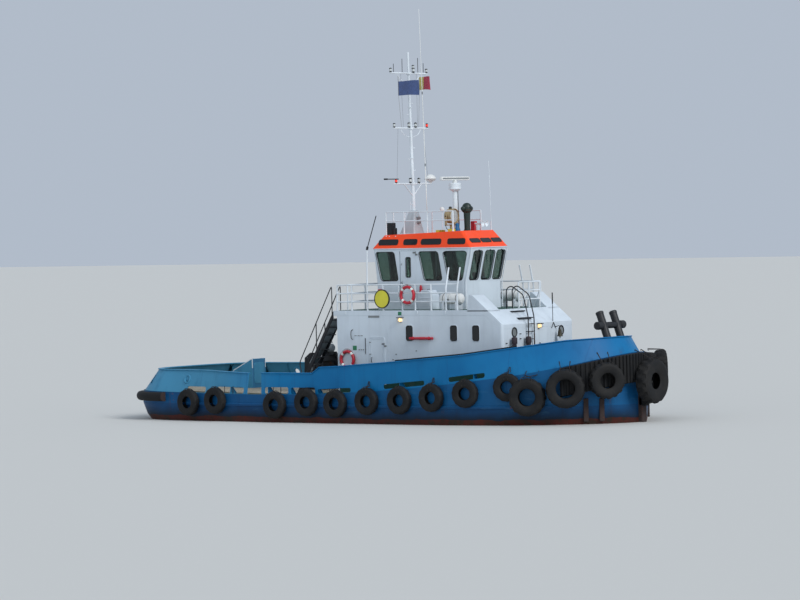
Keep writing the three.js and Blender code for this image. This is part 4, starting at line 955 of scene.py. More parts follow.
def strop(at, facing, size, width, spread, end):
    """Rope from inside a tyre's bore, over its outer side and top, to where it is made fast."""
    r, w = size / 2, width / 2
    out, side = facing_axes(facing)
    thick = 0.013
    local = [
        (spread, w * 0.3, r * 0.47), (spread, w * 0.6, r * 0.46), (spread, w * 0.9, r * 0.55),
        (spread, w - thick - 0.006, r * 0.77), (spread, w * 0.9, r * 0.93),
        (spread * 0.9, w * 0.6, r * 1.01), (spread * 0.8, 0, r * 1.03),
    ]
    path = [Vector(at) + side * a + out * b + Vector((0, 0, c)) for a, b, c in local]
    return tube(path + [Vector(e) for e in end], thick, 6)


def make_bow_fender():
    piece = Piece()
    first = param_at(DECK, 9.0)

    def section(f):
        low, high = deck_z(f[0]) - 1.08, deck_z(f[0]) - 0.03
        face = [(0.22, high), (0.25, high - 0.03), (0.25, low + 0.03), (0.22, low)]
        return [(-0.3, low), (-0.06, high)] + face

    piece.add(BAND, sweep(around(DECK, frange(first, 3, 40)), section))
    for x, y, nx, ny in around(DECK, frange(first + 0.01, 3, 22)):
        low, high = deck_z(x) - 1.07, deck_z(x) - 0.035
        rib = block(0.2, 0.298, -0.055, 0.055, low, high, 0.018)
        piece.add(BAND, moved(rib, (x, y, 0), turn_to(nx, ny)))
    piece.add(RUSTY, block(STEM_X - 0.4, STEM_X + 0.16, -0.15, 0.15, -0.9, 2.1, 0.03))
    piece.add(BAND, block(STEM_X, STEM_X + 0.305, -0.15, 0.15, 0.6, 2.1, 0.03))
    for x, y, z, size, width, facing, bore in BOW_TYRES:
        turned = hung(tyre(size, width, 90, 3, 0.055, bore), (x, y, z), facing)
        piece.add(TYRE, turned)
        out, along = facing_axes(facing)
        for spread in (-0.2, 0.2):
            foot = Vector((x, y, deck_z(x) + 0.05)) - out * 0.45 + along * spread
            if facing == 0:
                foot = Vector((10.72, spread, deck_z(10.7) + 0.04))
            end = [foot + Vector((0, 0, 0.06)), foot]
            piece.add(CHAIN, strop((x, y, z), facing, size, width * 0.9, spread, end))
    for side in (-1, 1):
        for x in (9.69, 10.1):
            s = param_at(KNUCKLE, x)
            fx, fy, nx, ny = plan_frame(KNUCKLE, s, side)
            bar = block(-0.2, 0.06, -0.09, 0.09, 0.1, 0.95, 0.015)
            piece.add(RUSTY, moved(bar, (fx, fy, 0), turn_to(nx, ny)))
    return piece.done("bow_fender_rubber", "rubber", "bow_fender")


def make_stern_fender():
    piece = Piece()
    low, high, out = 0.74, 1.09, 0.26
    mid, half = (low + high) / 2, (high - low) / 2
    section = [(-0.06, low), (-0.15, high)] + [
        (out - 0.15 + 0.15 * math.sin(t), mid + half * math.cos(t)) for t in frange(0, pi, 10)
    ]
    piece.add(BAND, sweep(around(KNUCKLE, frange(param_at(KNUCKLE, -9.03), 0, 34)), lambda f: section))
    cleat = [(a - 0.001, (b - mid) * 0.99 + mid) for a, b in section[2:8]] + [(0.05, mid)]
    for x, y, nx, ny in around(KNUCKLE, frange(param_at(KNUCKLE, -9.12), 0, 9)):
        if abs(y) > 0.3:
            piece.add(RUSTY, moved(prism(cleat, -0.03, 0.03, "y"), (x, y, 0), turn_to(nx, ny)))
    for side in (-1, 1):
        x, y, nx, ny = plan_frame(KNUCKLE, param_at(KNUCKLE, -9.03), side)
        piece.add(RUSTY, moved(prism(section, -0.02, 0.02, "y"), (x, y, 0), turn_to(nx, ny)))
    return piece.done("stern_fender_rubber", "rubber", "stern_fender")


def make_side_fender(name, side):
    piece = Piece()
    params = frange(param_at(KNUCKLE, -8.35), 2, 12) + frange(2, param_at(KNUCKLE, 8.7), 16)[1:]
    section = [(-0.06, 0.6), (-0.06, 0.72), (0.03, 0.72), (0.045, 0.7), (0.045, 0.62), (0.03, 0.6)]
    piece.add(HULL_PAINT, sweep([plan_frame(KNUCKLE, s, side) for s in params], lambda f: section))
    for x, z in SIDE_TYRES:
        y = side * (max(hull_half(x, z), hull_half(x, z + 0.2)) + 0.152)
        _, _, nx, ny = plan_frame(KNUCKLE, param_at(KNUCKLE, x), side)
        facing = math.degrees(math.atan2(ny, nx))
        squash = 1 - 0.02 * ((x * 37) % 1)
        piece.add(TYRE, hung(tyre(1.05 * squash, 0.28, 60, 2, 0.02), (x, y, z), facing))
        ported = any(r[0] + 0.05 < x < r[2] - 0.05 for r in PORTS_FORWARD + PORTS_AFT)
        for spread in (-0.07, 0.07):
            inner = half_at(RAIL_FOOT, x)
            top = deck_z(x)
            if ported:
                end = [
                    (x + spread, side * (inner + 0.05), max(top + 0.03, z + 0.5)),
                    (x + spread, side * (inner - 0.1), top + 0.05),
                    (x + spread * 0.6, side * (inner - 0.24), top + 0.01),
                ]
            else:
                end = [
                    (x + spread * 0.6, side * (inner + 0.03), z + 0.56),
                    (x + spread * 0.3, side * (inner - 0.005), z + 0.74),
                ]
            piece.add(CHAIN, strop((x, y, z), facing, 1.05, 0.28, spread, end))
    piece.add(TYRE, hung(tyre(1.4, 0.45, 90, 3, 0.055, 0.45), (8.075, side * 3.355, 1.045), side * 66))
    for spread in (-0.2, 0.2):
        x = 8.075 + spread
        end = [(x, side * (half_at(DECK, x) + 0.02), 1.84), (x, side * (half_at(RAIL_FOOT, x) - 0.01), 2.0)]
        piece.add(CHAIN, strop((8.075, side * 3.355, 1.045), side * 66, 1.4, 0.45, spread * side, end))
    return piece.done("side_fender_tyres_" + name, "rubber", "side_fender_" + name)


make_hull()
make_planking()
make_bulwarks()
make_bow_fender()
make_stern_fender()
make_side_fender("starboard", -1)
make_side_fender("port", 1)


# Deckhouse and boat deck
HOUSE_AFT, HOUSE_FRONT, HOUSE_HALF, HOUSE_WALL = -1.46, 6.28, 2.3, 0.08
HINGE_OUT = 0.0153
HINGE_R = 0.015
BOAT_DECK_Z, BOAT_DECK_AFT, ROOF_UNDER = 4.2, -1.63, 4.0
SLOPE_TOP, SLOPE_HIGH, SLOPE_FOOT, FAIRING_IN = 4.93, 4.76, 3.66, 1.56
FOOT_UNDER = SLOPE_FOOT - 0.18


def slope_x(z):
    return HOUSE_FRONT - (z - SLOPE_FOOT) * (HOUSE_FRONT - SLOPE_TOP) / (SLOPE_HIGH - SLOPE_FOOT)


KNEE_X = slope_x(BOAT_DECK_Z) - 0.15


def house_plan(inset, aft=HOUSE_AFT, steps=8):
    """The house from above: square corners aft, round ones forward."""
    x0, x1, w, r = aft + inset, HOUSE_FRONT - inset, HOUSE_HALF - inset, 0.11 - inset
    made = [(x0, -w + 0.02), (x0 + 0.006, -w + 0.006), (x0 + 0.02, -w)]
    made += [(x1 - r + r * math.sin(t), -w + r - r * math.cos(t)) for t in frange(0, pi / 2, steps)]
    made += [(x1 - r + r * math.cos(t), w - r + r * math.sin(t)) for t in frange(0, pi / 2, steps)]
    return made + [(x0 + 0.02, w), (x0 + 0.006, w - 0.006), (x0, w - 0.02)]


def on_side(y_wall, side):
    return lambda x, z: (Vector((x, side * y_wall, z)), Vector((0, side, 0)))


def on_front(x_wall):
    return lambda y, z: (Vector((x_wall, y, z)), Vector((1, 0, 0)))


def framed_window(piece, surface, outline):
    """A small fixed window: a pane painted near-black as painted shade for the unlit room behind it, rubber,
    and a welded frame standing proud.
    """
    centre = Vector((sum(a for a, _ in outline), sum(b for _, b in outline))) / len(outline)

    def grown(k):
        made = []
        for a, b in outline:
            d = Vector((a, b)) - centre
            made.append(tuple(centre + d + d.normalized() * k))
        return made

    piece.add(DARK_GLASS_AND_PAINTED_SHADE, patch(surface, outline, -0.01, 0.006))
    piece.add(GASKET, rim(surface, outline, 0.016, 0.008, 6))
    piece.add(WHITE, rim(surface, grown(0.0245), 0.0147, 0.0, 8))


def bulkhead_lamp(piece, surface, a, b, lit=WARM_LAMP):
    """A lamp under a small hood with a wire guard."""
    p, n = surface(a, b)
    along = n.cross(Vector((0, 0, 1)))

    def at(u, out, up):
        return p + along * u + n * out + Vector((0, 0, up))

    def slab(*sides):
        points, faces = block(*sides)
        return [at(*place) for place in points], faces

    piece.add(BLACK, bevel(slab(-0.12, 0.12, -0.01, 0.17, 0.06, 0.085), 0.008))
    piece.add(WHITE_FINE, slab(-0.09, 0.09, -0.01, 0.02, -0.1, 0.07))
    bulb = [(0.0, -0.08), (0.05, -0.07), (0.065, -0.02), (0.05, 0.05), (0.0, 0.06)]
    piece.add(lit, moved(lathe(bulb, 14), at(0, 0.075, 0)))
    wire = ((0.015, 0.06), (0.14, 0.05), (0.15, -0.05), (0.075, -0.1), (0.015, -0.09))
    for u in (-0.075, 0, 0.075):
        piece.add(STEEL, tube([at(u, out, up) for out, up in wire], 0.006, 5))


# The door's aft and forward edge, its foot and its head, and the heights of its hinges
DOOR_HOUSE = (0.09, 0.8, 1.4, 3.18)
DOOR_HINGES = (1.6, 2.89)


def on_aft(y, z):
    return Vector((HOUSE_AFT, y, z)), Vector((-1, 0, 0))


def house_doorway():
    x0, x1, z0, z1 = DOOR_HOUSE
    return round_rect(x0 - 0.016, x1 + 0.006, z0 - 0.006, z1 + 0.006, 0.09, 5)


def house_walls():
    shell = prism(house_plan(0), 0.9, BOAT_DECK_Z)
    fall = 0.1 * (ROOF_UNDER - FOOT_UNDER) / (HOUSE_FRONT - KNEE_X)
    ahead = HOUSE_FRONT + 0.1
    roof = [(-2, ROOF_UNDER), (KNEE_X, ROOF_UNDER), (ahead, FOOT_UNDER - fall), (ahead, 5), (-2, 5)]
    roof = prism(roof, -2.5, 2.5, "y")
    doorway = prism(house_doorway(), -2.4, 2.4, "y")
    return carve(shell, [prism(house_plan(HOUSE_WALL), 0.5, BOAT_DECK_Z + 0.2), roof, doorway])


def add_house_side(piece, side):
    """Windows, lamp, plates, handles and coaming of one side wall."""
    surface, hinge_x, hinge_y = on_side(HOUSE_HALF, side), DOOR_HOUSE[1], side * (HOUSE_HALF + HINGE_OUT)
    for x in (1.99, 4.05, 5.07):
        framed_window(piece, surface, round_rect(x - 0.15, x + 0.15, 3.06, 3.62, 0.08, 5))
    bulkhead_lamp(piece, surface, 1.6, 3.86)
    piece.add(WHITE, rim(surface, house_doorway(), 0.016, 0.0, 6))
    piece.add(GREY, patch(surface, round_rect(0.06, 0.58, 3.93, 4.01, 0.01, 2), -0.002, 0.012))
    piece.add(
        SIGN_GREEN,
        patch(surface, round_rect(-0.71, -0.53, 2.7, 2.87, 0.01, 2), -0.002, 0.008),
        patch(surface, round_rect(1.47, 1.63, 4.02, 4.15, 0.01, 2), -0.002, 0.008),
    )
    handle = [
        (-0.7, side * 2.29, 3.1), (-0.74, side * 2.36, 3.14), (-0.75, side * 2.37, 3.29),
        (-0.74, side * 2.36, 3.44), (-0.7, side * 2.29, 3.48),
    ]
    piece.add(BLACK, tube(bent(handle, 0.05), 0.014, 8))
    for x, low, high in ((-0.06, 1.6, 3.2), (0.98, 1.45, 3.55), (2.9, 1.6, 4.0)):
        weld = [(x - 0.008, low), (x + 0.008, low), (x + 0.008, high), (x - 0.008, high)]
        piece.add(WHITE, patch(surface, weld, -0.002, 0.005))
    for x in (-0.57, -0.42, -0.28):
        vent = round_rect(x - 0.05, x + 0.05, 3.235, 3.262, 0.008, 2)
        piece.add(GREY, patch(surface, vent, -0.002, 0.014))
    piece.add(BLACK, tube([(-0.1, side * 2.31, 2.55), (-0.1, side * 2.32, 3.16)], 0.012, 6))
    for x, z in ((-0.4, 2.72), (-0.3, 2.72), (-0.2, 2.72), (1.35, 2.55), (2.3, 2.68), (1.2, 2.35)):
        piece.add(GREY, tube([(x, side * 2.295, z), (x, side * 2.335, z)], 0.022, 8))
    for z in DOOR_HINGES:
        lug = side_block(side, hinge_x + 0.002, hinge_x + 0.09, 2.29, 2.328, z - 0.0603, z - 0.0003, 0.003)
        piece.add(STEEL, tube([(hinge_x, hinge_y, z - 0.06), (hinge_x, hinge_y, z)], HINGE_R, 16), lug)
    # the dark green coaming along the foot of the wall, lower under the door
    for start, end, high in ((-1.35, 0.05, 0.45), (0.05, 0.85, 0.2), (0.85, 6.15, 0.45)):
        xs = frange(start, end, 10)
        strip = [(x, deck_z(x) - 0.03) for x in xs] + [(x, deck_z(x) + high) for x in reversed(xs)]
        piece.add(DECK_GREEN, patch(surface, strip, -0.004, 0.006))


def add_line_thrower(piece):
    """The red tube on the starboard wall, with its clips."""
    for aft, fore, r in ((2.05, 2.5, 0.05), (2.5, 2.75, 0.056), (2.75, 3.12, 0.05)):
        piece.add(RED, tube([(aft, -2.38, 3.15), (fore, -2.38, 3.15)], r, 14))
    for x in (2.2, 2.95):
        clip = lathe([(0.045, -0.03), (0.064, -0.03), (0.064, 0.03), (0.045, 0.03)], 16, True, "x")
        piece.add(RED, moved(clip, (x, -2.38, 3.15)))
        piece.add(GREY, block(x - 0.015, x + 0.015, -2.37, -2.295, 3.13, 3.17))


def add_house_front(piece):
    """Two portholes, two maroon ventilators, lamp, bell and small fittings."""
    front = on_front(HOUSE_FRONT)
    for y, z in ((-1.55, 3.35), (1.5, 3.32)):
        porthole = [(y + 0.15 * a, z + 0.17 * b) for a, b in circle(28)]
        piece.add(BLACK, rim(front, porthole, 0.024, 0.012, 8))
        piece.add(GREY, patch(front, porthole, -0.01, 0.008))
    vent_x = HOUSE_FRONT + 0.17
    for y in (-1.79, -0.88):
        post = [
            (0.0, 1.8), (0.085, 1.8), (0.085, 2.92), (0.11, 2.94), (0.11, 3.13), (0.09, 3.17), (0.0, 3.18),
        ]
        piece.add(MAROON, moved(lathe(post, 20), (vent_x, y, 0)))
        piece.add(BLACK, tube([(vent_x, y - 0.1, 3.0), (vent_x, y - 0.17, 3.0)], 0.018, 8))
    bulkhead_lamp(piece, front, 0.02, 3.55)
    bell_x, bell_y = HOUSE_FRONT + 0.2, 1.13
    bell = [
        (0.0, 3.37), (0.04, 3.365), (0.06, 3.33), (0.07, 3.25), (0.09, 3.16), (0.12, 3.1), (0.112, 3.1),
        (0.08, 3.16), (0.0, 3.18),
    ]
    piece.add(BRASS, moved(lathe(bell, 24), (bell_x, bell_y, 0)))
    clapper = [(0, 3.0), (0.03, 3.0), (0.03, 3.1), (0, 3.11)]
    piece.add(WHITE_FINE, moved(lathe(clapper, 12), (bell_x, bell_y, 0)))
    arc = (HOUSE_FRONT, 3.46), (bell_x - 0.05, 3.5), (bell_x, 3.48), (bell_x, 3.36)
    piece.add(BLACK, tube(bent([(x, bell_y, z) for x, z in arc], 0.05), 0.014, 8))
    for dy in (-0.13, 0.13):
        leg = [(HOUSE_FRONT + 0.02, 0.99, 3.64), (HOUSE_FRONT + 0.02, 0.99 + dy, 3.42)]
        piece.add(BLACK, tube(leg, 0.012, 6))
    piece.add(
        BLACK,
        tube([(HOUSE_FRONT - 0.02, 1.0, 3.55), (HOUSE_FRONT - 0.02, 1.0, 4.34)], 0.012, 8),
        tube([(HOUSE_FRONT - 0.02, 1.0, 4.33), (HOUSE_FRONT - 0.02, 1.0, 4.75)], 0.024, 8),
    )
    for z, y in ((3.28, -1.2), (3.1, -1.2), (2.96, -2.1), (2.89, 0.05)):
        piece.add(BLACK, tube([(HOUSE_FRONT - 0.005, y, z), (HOUSE_FRONT + 0.07, y, z)], 0.018, 8))
    for y in (0.75, 1.9):
        piece.add(BLACK, rim(front, round_rect(y - 0.02, y + 0.02, 2.6, 2.64, 0.015), 0.02, 0.01))


def add_house_back(piece):
    """A door's outline, two windows, vents and a locker behind the winch."""
    for y in (0.55, -0.85):
        framed_window(piece, on_aft, round_rect(y, y + 0.3, 2.9, 3.4, 0.08, 5))
    door = round_rect(-0.35, 0.35, 1.45, 3.1, 0.1, 5)
    piece.add(WHITE, patch(on_aft, door, -0.002, 0.03), rim(on_aft, door, 0.02, 0.0, 8))
    for z in (1.7, 2.25, 2.85):
        piece.add(
            STEEL,
            tube([(HOUSE_AFT - 0.05, 0.24, z), (HOUSE_AFT - 0.05, 0.36, z + 0.05)], 0.012, 6),
            tube([(HOUSE_AFT - 0.02, -0.36, z - 0.05), (HOUSE_AFT - 0.02, -0.36, z + 0.05)], 0.016, 8),
        )
    for y in (1.3, -1.35):
        for z in frange(3.3, 3.6, 5):
            piece.add(WHITE_FINE, block(HOUSE_AFT - 0.03, HOUSE_AFT, y - 0.2, y + 0.2, z - 0.018, z + 0.006))
    piece.add(BLUE, block(-1.79, -1.46, 1.35, 2.15, 1.1, 2.2, 0.02))


def make_deckhouse():
    piece = Piece().add(WHITE, house_walls())
    for side in (-1, 1):
        add_house_side(piece, side)
    add_line_thrower(piece)
    add_house_front(piece)
    add_house_back(piece)
    return piece.done("deckhouse_walls", "white_paint", "deckhouse")


def make_boat_deck():
    profile = [
        (BOAT_DECK_AFT, ROOF_UNDER), (KNEE_X, ROOF_UNDER), (HOUSE_FRONT, FOOT_UNDER),
        (HOUSE_FRONT, SLOPE_FOOT), (slope_x(BOAT_DECK_Z), BOAT_DECK_Z), (BOAT_DECK_AFT, BOAT_DECK_Z),
    ]
    slab = prism(profile, -HOUSE_HALF, HOUSE_HALF, "y")
    shape = carve(slab, [prism(house_plan(0, BOAT_DECK_AFT), 3, 5.5)], "INTERSECT")
    piece = Piece().add(WHITE, bevel(shape, 0.012, 2, 30))
    wedge = [
        (SLOPE_TOP - 0.26, BOAT_DECK_Z - 0.06), (SLOPE_TOP - 0.16, SLOPE_HIGH), (SLOPE_TOP, SLOPE_HIGH),
        (slope_x(BOAT_DECK_Z - 0.06), BOAT_DECK_Z - 0.06),
    ]
    for y0, y1 in ((FAIRING_IN, HOUSE_HALF), (-HOUSE_HALF, -FAIRING_IN)):
        piece.add(WHITE, prism(wedge, y0, y1, "y", 0.012))
    inner = [
        (BOAT_DECK_AFT + 0.07, -2.2), (SLOPE_TOP - 0.28, -2.2), (SLOPE_TOP - 0.28, -FAIRING_IN + 0.02),
        (slope_x(BOAT_DECK_Z) - 0.04, -FAIRING_IN + 0.02),
    ]
    plan = inner + [(x, -y) for x, y in reversed(inner)]
    piece.add(DECK_GREEN, prism(plan, BOAT_DECK_Z - 0.01, BOAT_DECK_Z + 0.006))
    for x in (-1.0, 0.6, 2.4, 3.7):
        for side in (-1, 1):
            wall, out = side * (HOUSE_HALF + 0.005) - side * 0.05, side * (HOUSE_HALF + 0.005) + side * 0.02
            drain = (wall, BOAT_DECK_Z - 0.02), (out, BOAT_DECK_Z - 0.06), (out, BOAT_DECK_Z - 0.12)
            piece.add(WHITE_FINE, tube([(x, y, z) for y, z in drain], 0.014, 6))
    return piece.done("boat_deck_plating", "white_paint", "boat_deck")


def make_house_door(name, side):
    x0, x1, z0, z1 = DOOR_HOUSE
    outline = round_rect(x0, x1 - 0.003, z0, z1, 0.085, 5)
    lo, hi = sorted((side * HOUSE_HALF, side * (HOUSE_HALF - 0.05)))
    piece = Piece().add(WHITE, prism(outline, lo, hi, "y", 0.006))
    inset = round_rect(x0 + 0.05, x1 - 0.053, z0 + 0.05, z1 - 0.05, 0.06, 5)
    piece.add(WHITE, rim(on_side(HOUSE_HALF, side), inset, 0.012, 0.0, 6))
    ys = side * (HOUSE_HALF + HINGE_OUT)
    for z in DOOR_HINGES:
        piece.add(
            STEEL,
            tube([(x1, ys, z), (x1, ys, z + 0.09)], HINGE_R, 16),
            side_block(side, x1 - 0.13, x1, 2.292, 2.3133, z + 0.015, z + 0.075, 0.003),
            side_block(side, x1 - 0.13, x1 - 0.05, 2.3, 2.312, z + 0.02, z + 0.07, 0.002),
        )
    for z in (1.62, 2.1, 2.55, 3.0):
        piece.add(
            STEEL,
            tube([(x0 + 0.05, side * 2.3, z), (x0 + 0.05, side * 2.33, z)], 0.016, 10),
            side_block(side, x0, x0 + 0.07, 2.322, 2.334, z - 0.014, z + 0.014, 0.003),
        )
    handle = [(x0 + 0.1, side * y, z) for y, z in ((2.3, 2.25), (2.35, 2.25), (2.35, 2.42), (2.3, 2.42))]
    piece.add(BLACK, tube(bent(handle, 0.03), 0.011, 8))
    slot, joint = "deckhouse_door_" + name, "house_door_" + name
    return piece.done("house_door_leaf_" + name, "white_paint", slot, joint)


# Wheelhouse
CABIN_AFT, CABIN_FRONT, CABIN_HALF, CABIN_WALL = -0.37, 3.8, 1.19, 0.07
SILL, CABIN_TOP, CORNER = 5.2, 6.5, 0.12
LEAN_FRONT, LEAN_AFT = 0.32, 0.15
WIN_LOW, WIN_HIGH, WIN_R = 5.29, 6.39, 0.11
# aft and forward end of each at its foot, then at its head
SIDE_WINDOWS = [(-0.13, 0.69, -0.39, 0.51), (1.91, 2.76, 1.65, 2.57), (3.03, 3.69, 2.79, 3.94)]
FRONT_WINDOWS = [(-0.955, -0.37), (-0.21, 0.43), (0.53, 1.1)]
AFT_WINDOWS = [(-1.0, -0.26), (0.26, 1.0)]
# The door's window and the door: aft and forward end, foot and head
DOOR_WINDOW = (1.05, 1.28, 5.42, 6.18)
DOOR_CABIN = (0.79, 1.53, 4.33, 6.42)
ROOF_PLAN = (CABIN_AFT - LEAN_AFT - 0.02, CABIN_FRONT + LEAN_FRONT + 0.02, CABIN_HALF + 0.02)
ROOF_TOP_PLAN = (-0.1, 3.62, 1.03)
ROOF_AFT_Z, ROOF_FRONT_Z = 7.03, 7.15


def lean_share(z):
    return max(z - SILL, 0) / (CABIN_TOP - SILL)


def cabin_ring(inset, share, z, steps=5):
    aft, fore = CABIN_AFT - LEAN_AFT * share + inset, CABIN_FRONT + LEAN_FRONT * share - inset
    half = CABIN_HALF - inset
    return [(x, y, z) for x, y in round_rect(aft, fore, -half, half, max(CORNER - inset, 0.02), steps)]


def cabin_body(inset, z0, z1):
    return loft([cabin_ring(inset, 0, z0), cabin_ring(inset, 0, SILL), cabin_ring(inset, lean_share(z1), z1)])


def cabin_end(way):
    x0, lean = (CABIN_FRONT, LEAN_FRONT) if way > 0 else (CABIN_AFT, LEAN_AFT)
    n = Vector((way, 0, -lean / (CABIN_TOP - SILL))).normalized()

    def at(y, z):
        return Vector((x0 + way * lean * lean_share(z), y, z)), n if z > SILL else Vector((way, 0, 0))

    return at


def window_outline(a0, a1, top0=None, top1=None):
    top0, top1 = (a0, a1) if top0 is None else (top0, top1)
    outline = round_rect(0, a1 - a0, WIN_LOW, WIN_HIGH, WIN_R, 5)
    points = []
    for a, z in outline:
        f, share = (z - WIN_LOW) / (WIN_HIGH - WIN_LOW), a / (a1 - a0)
        low, high = a0 + (top0 - a0) * f, a1 + (top1 - a1) * f
        points.append((low + (high - low) * share, z))
    return points


DOOR_PANE = round_rect(*DOOR_WINDOW, 0.06, 5)


def wiper(piece, surface, a, b, reach, lean):
    p, n = surface(a, b)
    q, _ = surface(a + lean, b - reach)
    piece.add(BLACK, tube([p, p + n * 0.05], 0.02, 8), tube([p + n * 0.045, q + n * 0.03], 0.009, 6))
    u, _ = surface(a + lean * 0.5, b - reach * 0.5)
    v, _ = surface(a + lean * 1.35, b - reach * 1.3)
    piece.add(BLACK, tube([u + n * 0.014, v + n * 0.014], 0.011, 6))


def make_wheelhouse():
    x0, x1, z0, z1 = DOOR_CABIN
    shell = cabin_body(0, BOAT_DECK_Z - 0.01, CABIN_TOP)
    cutters = [cabin_body(CABIN_WALL, BOAT_DECK_Z - 0.05, CABIN_TOP + 0.05)]
    cutters.append(prism(round_rect(x0 - 0.03, x1 + 0.006, z0 - 0.006, z1 + 0.006, 0.04, 3), -1.7, 1.7, "y"))
    walls = carve(shell, cutters)
    holes = [prism(window_outline(*w), -1.7, 1.7, "y") for w in SIDE_WINDOWS]
    holes += [prism(window_outline(*w), 3.3, 4.3, "x") for w in FRONT_WINDOWS]
    holes += [prism(window_outline(*w), -0.9, 0.0, "x") for w in AFT_WINDOWS]
    piece = Piece().add(WHITE, carve(walls, holes))
    surfaces = [(on_side(CABIN_HALF, side), SIDE_WINDOWS) for side in (-1, 1)]
    surfaces += [(cabin_end(1), FRONT_WINDOWS), (cabin_end(-1), AFT_WINDOWS)]
    for surface, windows in surfaces:
        for w in windows:
            piece.add(GASKET, *(rim(surface, window_outline(*w), 0.013, face, 6) for face in (0.0, -0.06)))
    front = cabin_end(1)
    for y in (-0.66, 0.07, 0.79):
        wiper(piece, front, y, WIN_HIGH + 0.02, 0.42, 0.12)
    for side in (-1, 1):
        surface = on_side(CABIN_HALF, side)
        ys = side * (CABIN_HALF + HINGE_OUT)
        depth = sorted((ys + side * 0.012, ys - side * 0.045))
        lug = block(x1 + 0.002, x1 + 0.09, *depth, 6.2497, 6.3097, 0.003)
        piece.add(STEEL, tube([(x1, ys, 6.25), (x1, ys, 6.3097)], HINGE_R, 16), lug)
        (foot, out), (head, _) = surface(0.735, 4.55), surface(0.735, 5.15)
        grip = [foot, foot + out * 0.07, head + out * 0.07, head]
        piece.add(WHITE_FINE, tube(bent(grip, 0.05), 0.013, 8))
        # a red extinguisher with its bracket by the door, and a red box further aft
        bottle = [(0, 0), (0.05, 0), (0.055, 0.03), (0.055, 0.3), (0.03, 0.36), (0.015, 0.4), (0, 0.4)]
        piece.add(RED, moved(lathe(bottle, 14), (1.79, side * 1.26, 4.75)))
        piece.add(STEEL, side_block(side, 1.73, 1.85, 1.19, 1.21, 4.85, 4.95))
        piece.add(RED, side_block(side, -0.24, -0.08, 1.185, 1.29, 4.75, 4.98, 0.015))
        pipe = [(x, side * 1.17, z) for x, z in ((4.13, 6.52), (4.1, 6.3), (3.84, 5.25), (3.84, 4.25))]
        piece.add(WHITE_FINE, tube(bent(pipe, 0.06), 0.018, 8))
    # inside: floor and window ledges; the ceiling lining is part of the roof
    piece.add(LINING, prism([(x, y) for x, y, _ in cabin_ring(CABIN_WALL + 0.002, 0, 0)], 4.2, 4.24))
    for a, b in ((1.9, 3.7), (-0.28, 0.7)):
        for side in (-1, 1):
            piece.add(LINING, side_block(side, a, b, 1.02, 1.125, 5.24, 5.28, 0.006))
    return piece.done("wheelhouse_walls", "white_paint", "wheelhouse")


def make_cabin_door(name, side):
    x0, x1, z0, z1 = DOOR_CABIN
    walls = sorted((side * CABIN_HALF, side * (CABIN_HALF - CABIN_WALL)))
    leaf = prism([(x0, z0), (x1, z0), (x1, z1), (x0, z1)], *walls, "y")
    leaf = carve(leaf, [prism(DOOR_PANE, -1.7, 1.7, "y")])
    piece = Piece().add(WHITE, bevel(leaf, 0.006, 1, 40))
    surface = on_side(CABIN_HALF, side)
    piece.add(GASKET, *(rim(surface, DOOR_PANE, 0.014, face, 6) for face in (0.0, -0.062)))
    a0, a1, b0, b1 = DOOR_WINDOW
    pane = round_rect(a0 - 0.01, a1 + 0.01, b0 - 0.01, b1 + 0.01, 0.06, 5)
    piece.add(GLASS, patch(surface, pane, -0.046, -0.034))
    piece.add(WHITE, rim(surface, round_rect(x0 + 0.09, x1 - 0.09, 4.42, 5.14, 0.04, 3), 0.009, 0.0, 5))
    ys = side * (CABIN_HALF + HINGE_OUT)
    strap = block(x1 - 0.13, x1, *sorted((ys - side * 0.002, ys - side * 0.045)), 6.325, 6.385, 0.003)
    piece.add(STEEL, tube([(x1, ys, 6.31), (x1, ys, 6.4)], HINGE_R, 16), strap)
    for z in (4.6, 5.22, 5.9):
        p, n = surface(x0 + 0.06, z)
        dog = tube([p + n * 0.026, p + n * 0.026 + Vector((0.04, 0, 0.06))], 0.008, 6)
        piece.add(STEEL, tube([p, p + n * 0.03], 0.016, 10), dog)
    (p, n), up = surface(x0 + 0.1, 5.05), Vector((0, 0, 0.15))
    piece.add(BLACK, tube(bent([p, p + n * 0.05, p + n * 0.05 + up, p + up], 0.03), 0.01, 8))
    slot, joint = "wheelhouse_door_" + name, "cabin_door_" + name
    return piece.done("cabin_door_leaf_" + name, "white_paint", slot, joint)


def roof_top(x):
    aft, front, _ = ROOF_TOP_PLAN
    return ROOF_AFT_Z + (ROOF_FRONT_Z - ROOF_AFT_Z) * (x - aft) / (front - aft)


def roof_ring(plan, inset, z, steps=6, along=12):
    aft, front, half = plan
    corners = round_rect(aft + inset, front - inset, -half + inset, half - inset, 0.12, steps)
    points = []
    for (xa, ya), (xb, yb) in zip(corners, corners[1:] + corners[:1]):
        n = along if abs(xb - xa) > 1 else 1
        points += [(xa + (xb - xa) * k / n, ya + (yb - ya) * k / n) for k in range(n)]
    return [(x, y, z(x) if callable(z) else z) for x, y in points]


def band_surface(way, side=0):
    """The orange band's sloping face by the distance along it and the height at its middle."""
    foot = CABIN_TOP + 0.04
    (aft0, front0, half0), (aft1, front1, half1) = ROOF_PLAN, ROOF_TOP_PLAN

    def at(a, b):
        k = (b - foot) / (7.0 - foot)
        if side:
            # the face is ruled between the long straight edges at its foot and its top
            for _ in range(4):
                low, high = aft0 + (aft1 - aft0) * k, front0 + (front1 - front0) * k
                top_x = aft1 + (front1 - aft1) * (a - low) / (high - low)
                k = (b - foot) / (roof_top(top_x) - foot)
            rise = roof_top(top_x) - foot
            normal = Vector((0, side * rise, half0 - half1)).normalized()
            return Vector((a, side * (half0 + (half1 - half0) * k), b)), normal
        x_low, x_high = (front0, front1) if way > 0 else (aft0, aft1)
        rise = roof_top(x_high) - foot
        normal = Vector((way * rise, 0, abs(x_high - x_low))).normalized()
        return Vector((x_low + (x_high - x_low) * k, a, foot + rise * k)), normal

    return at


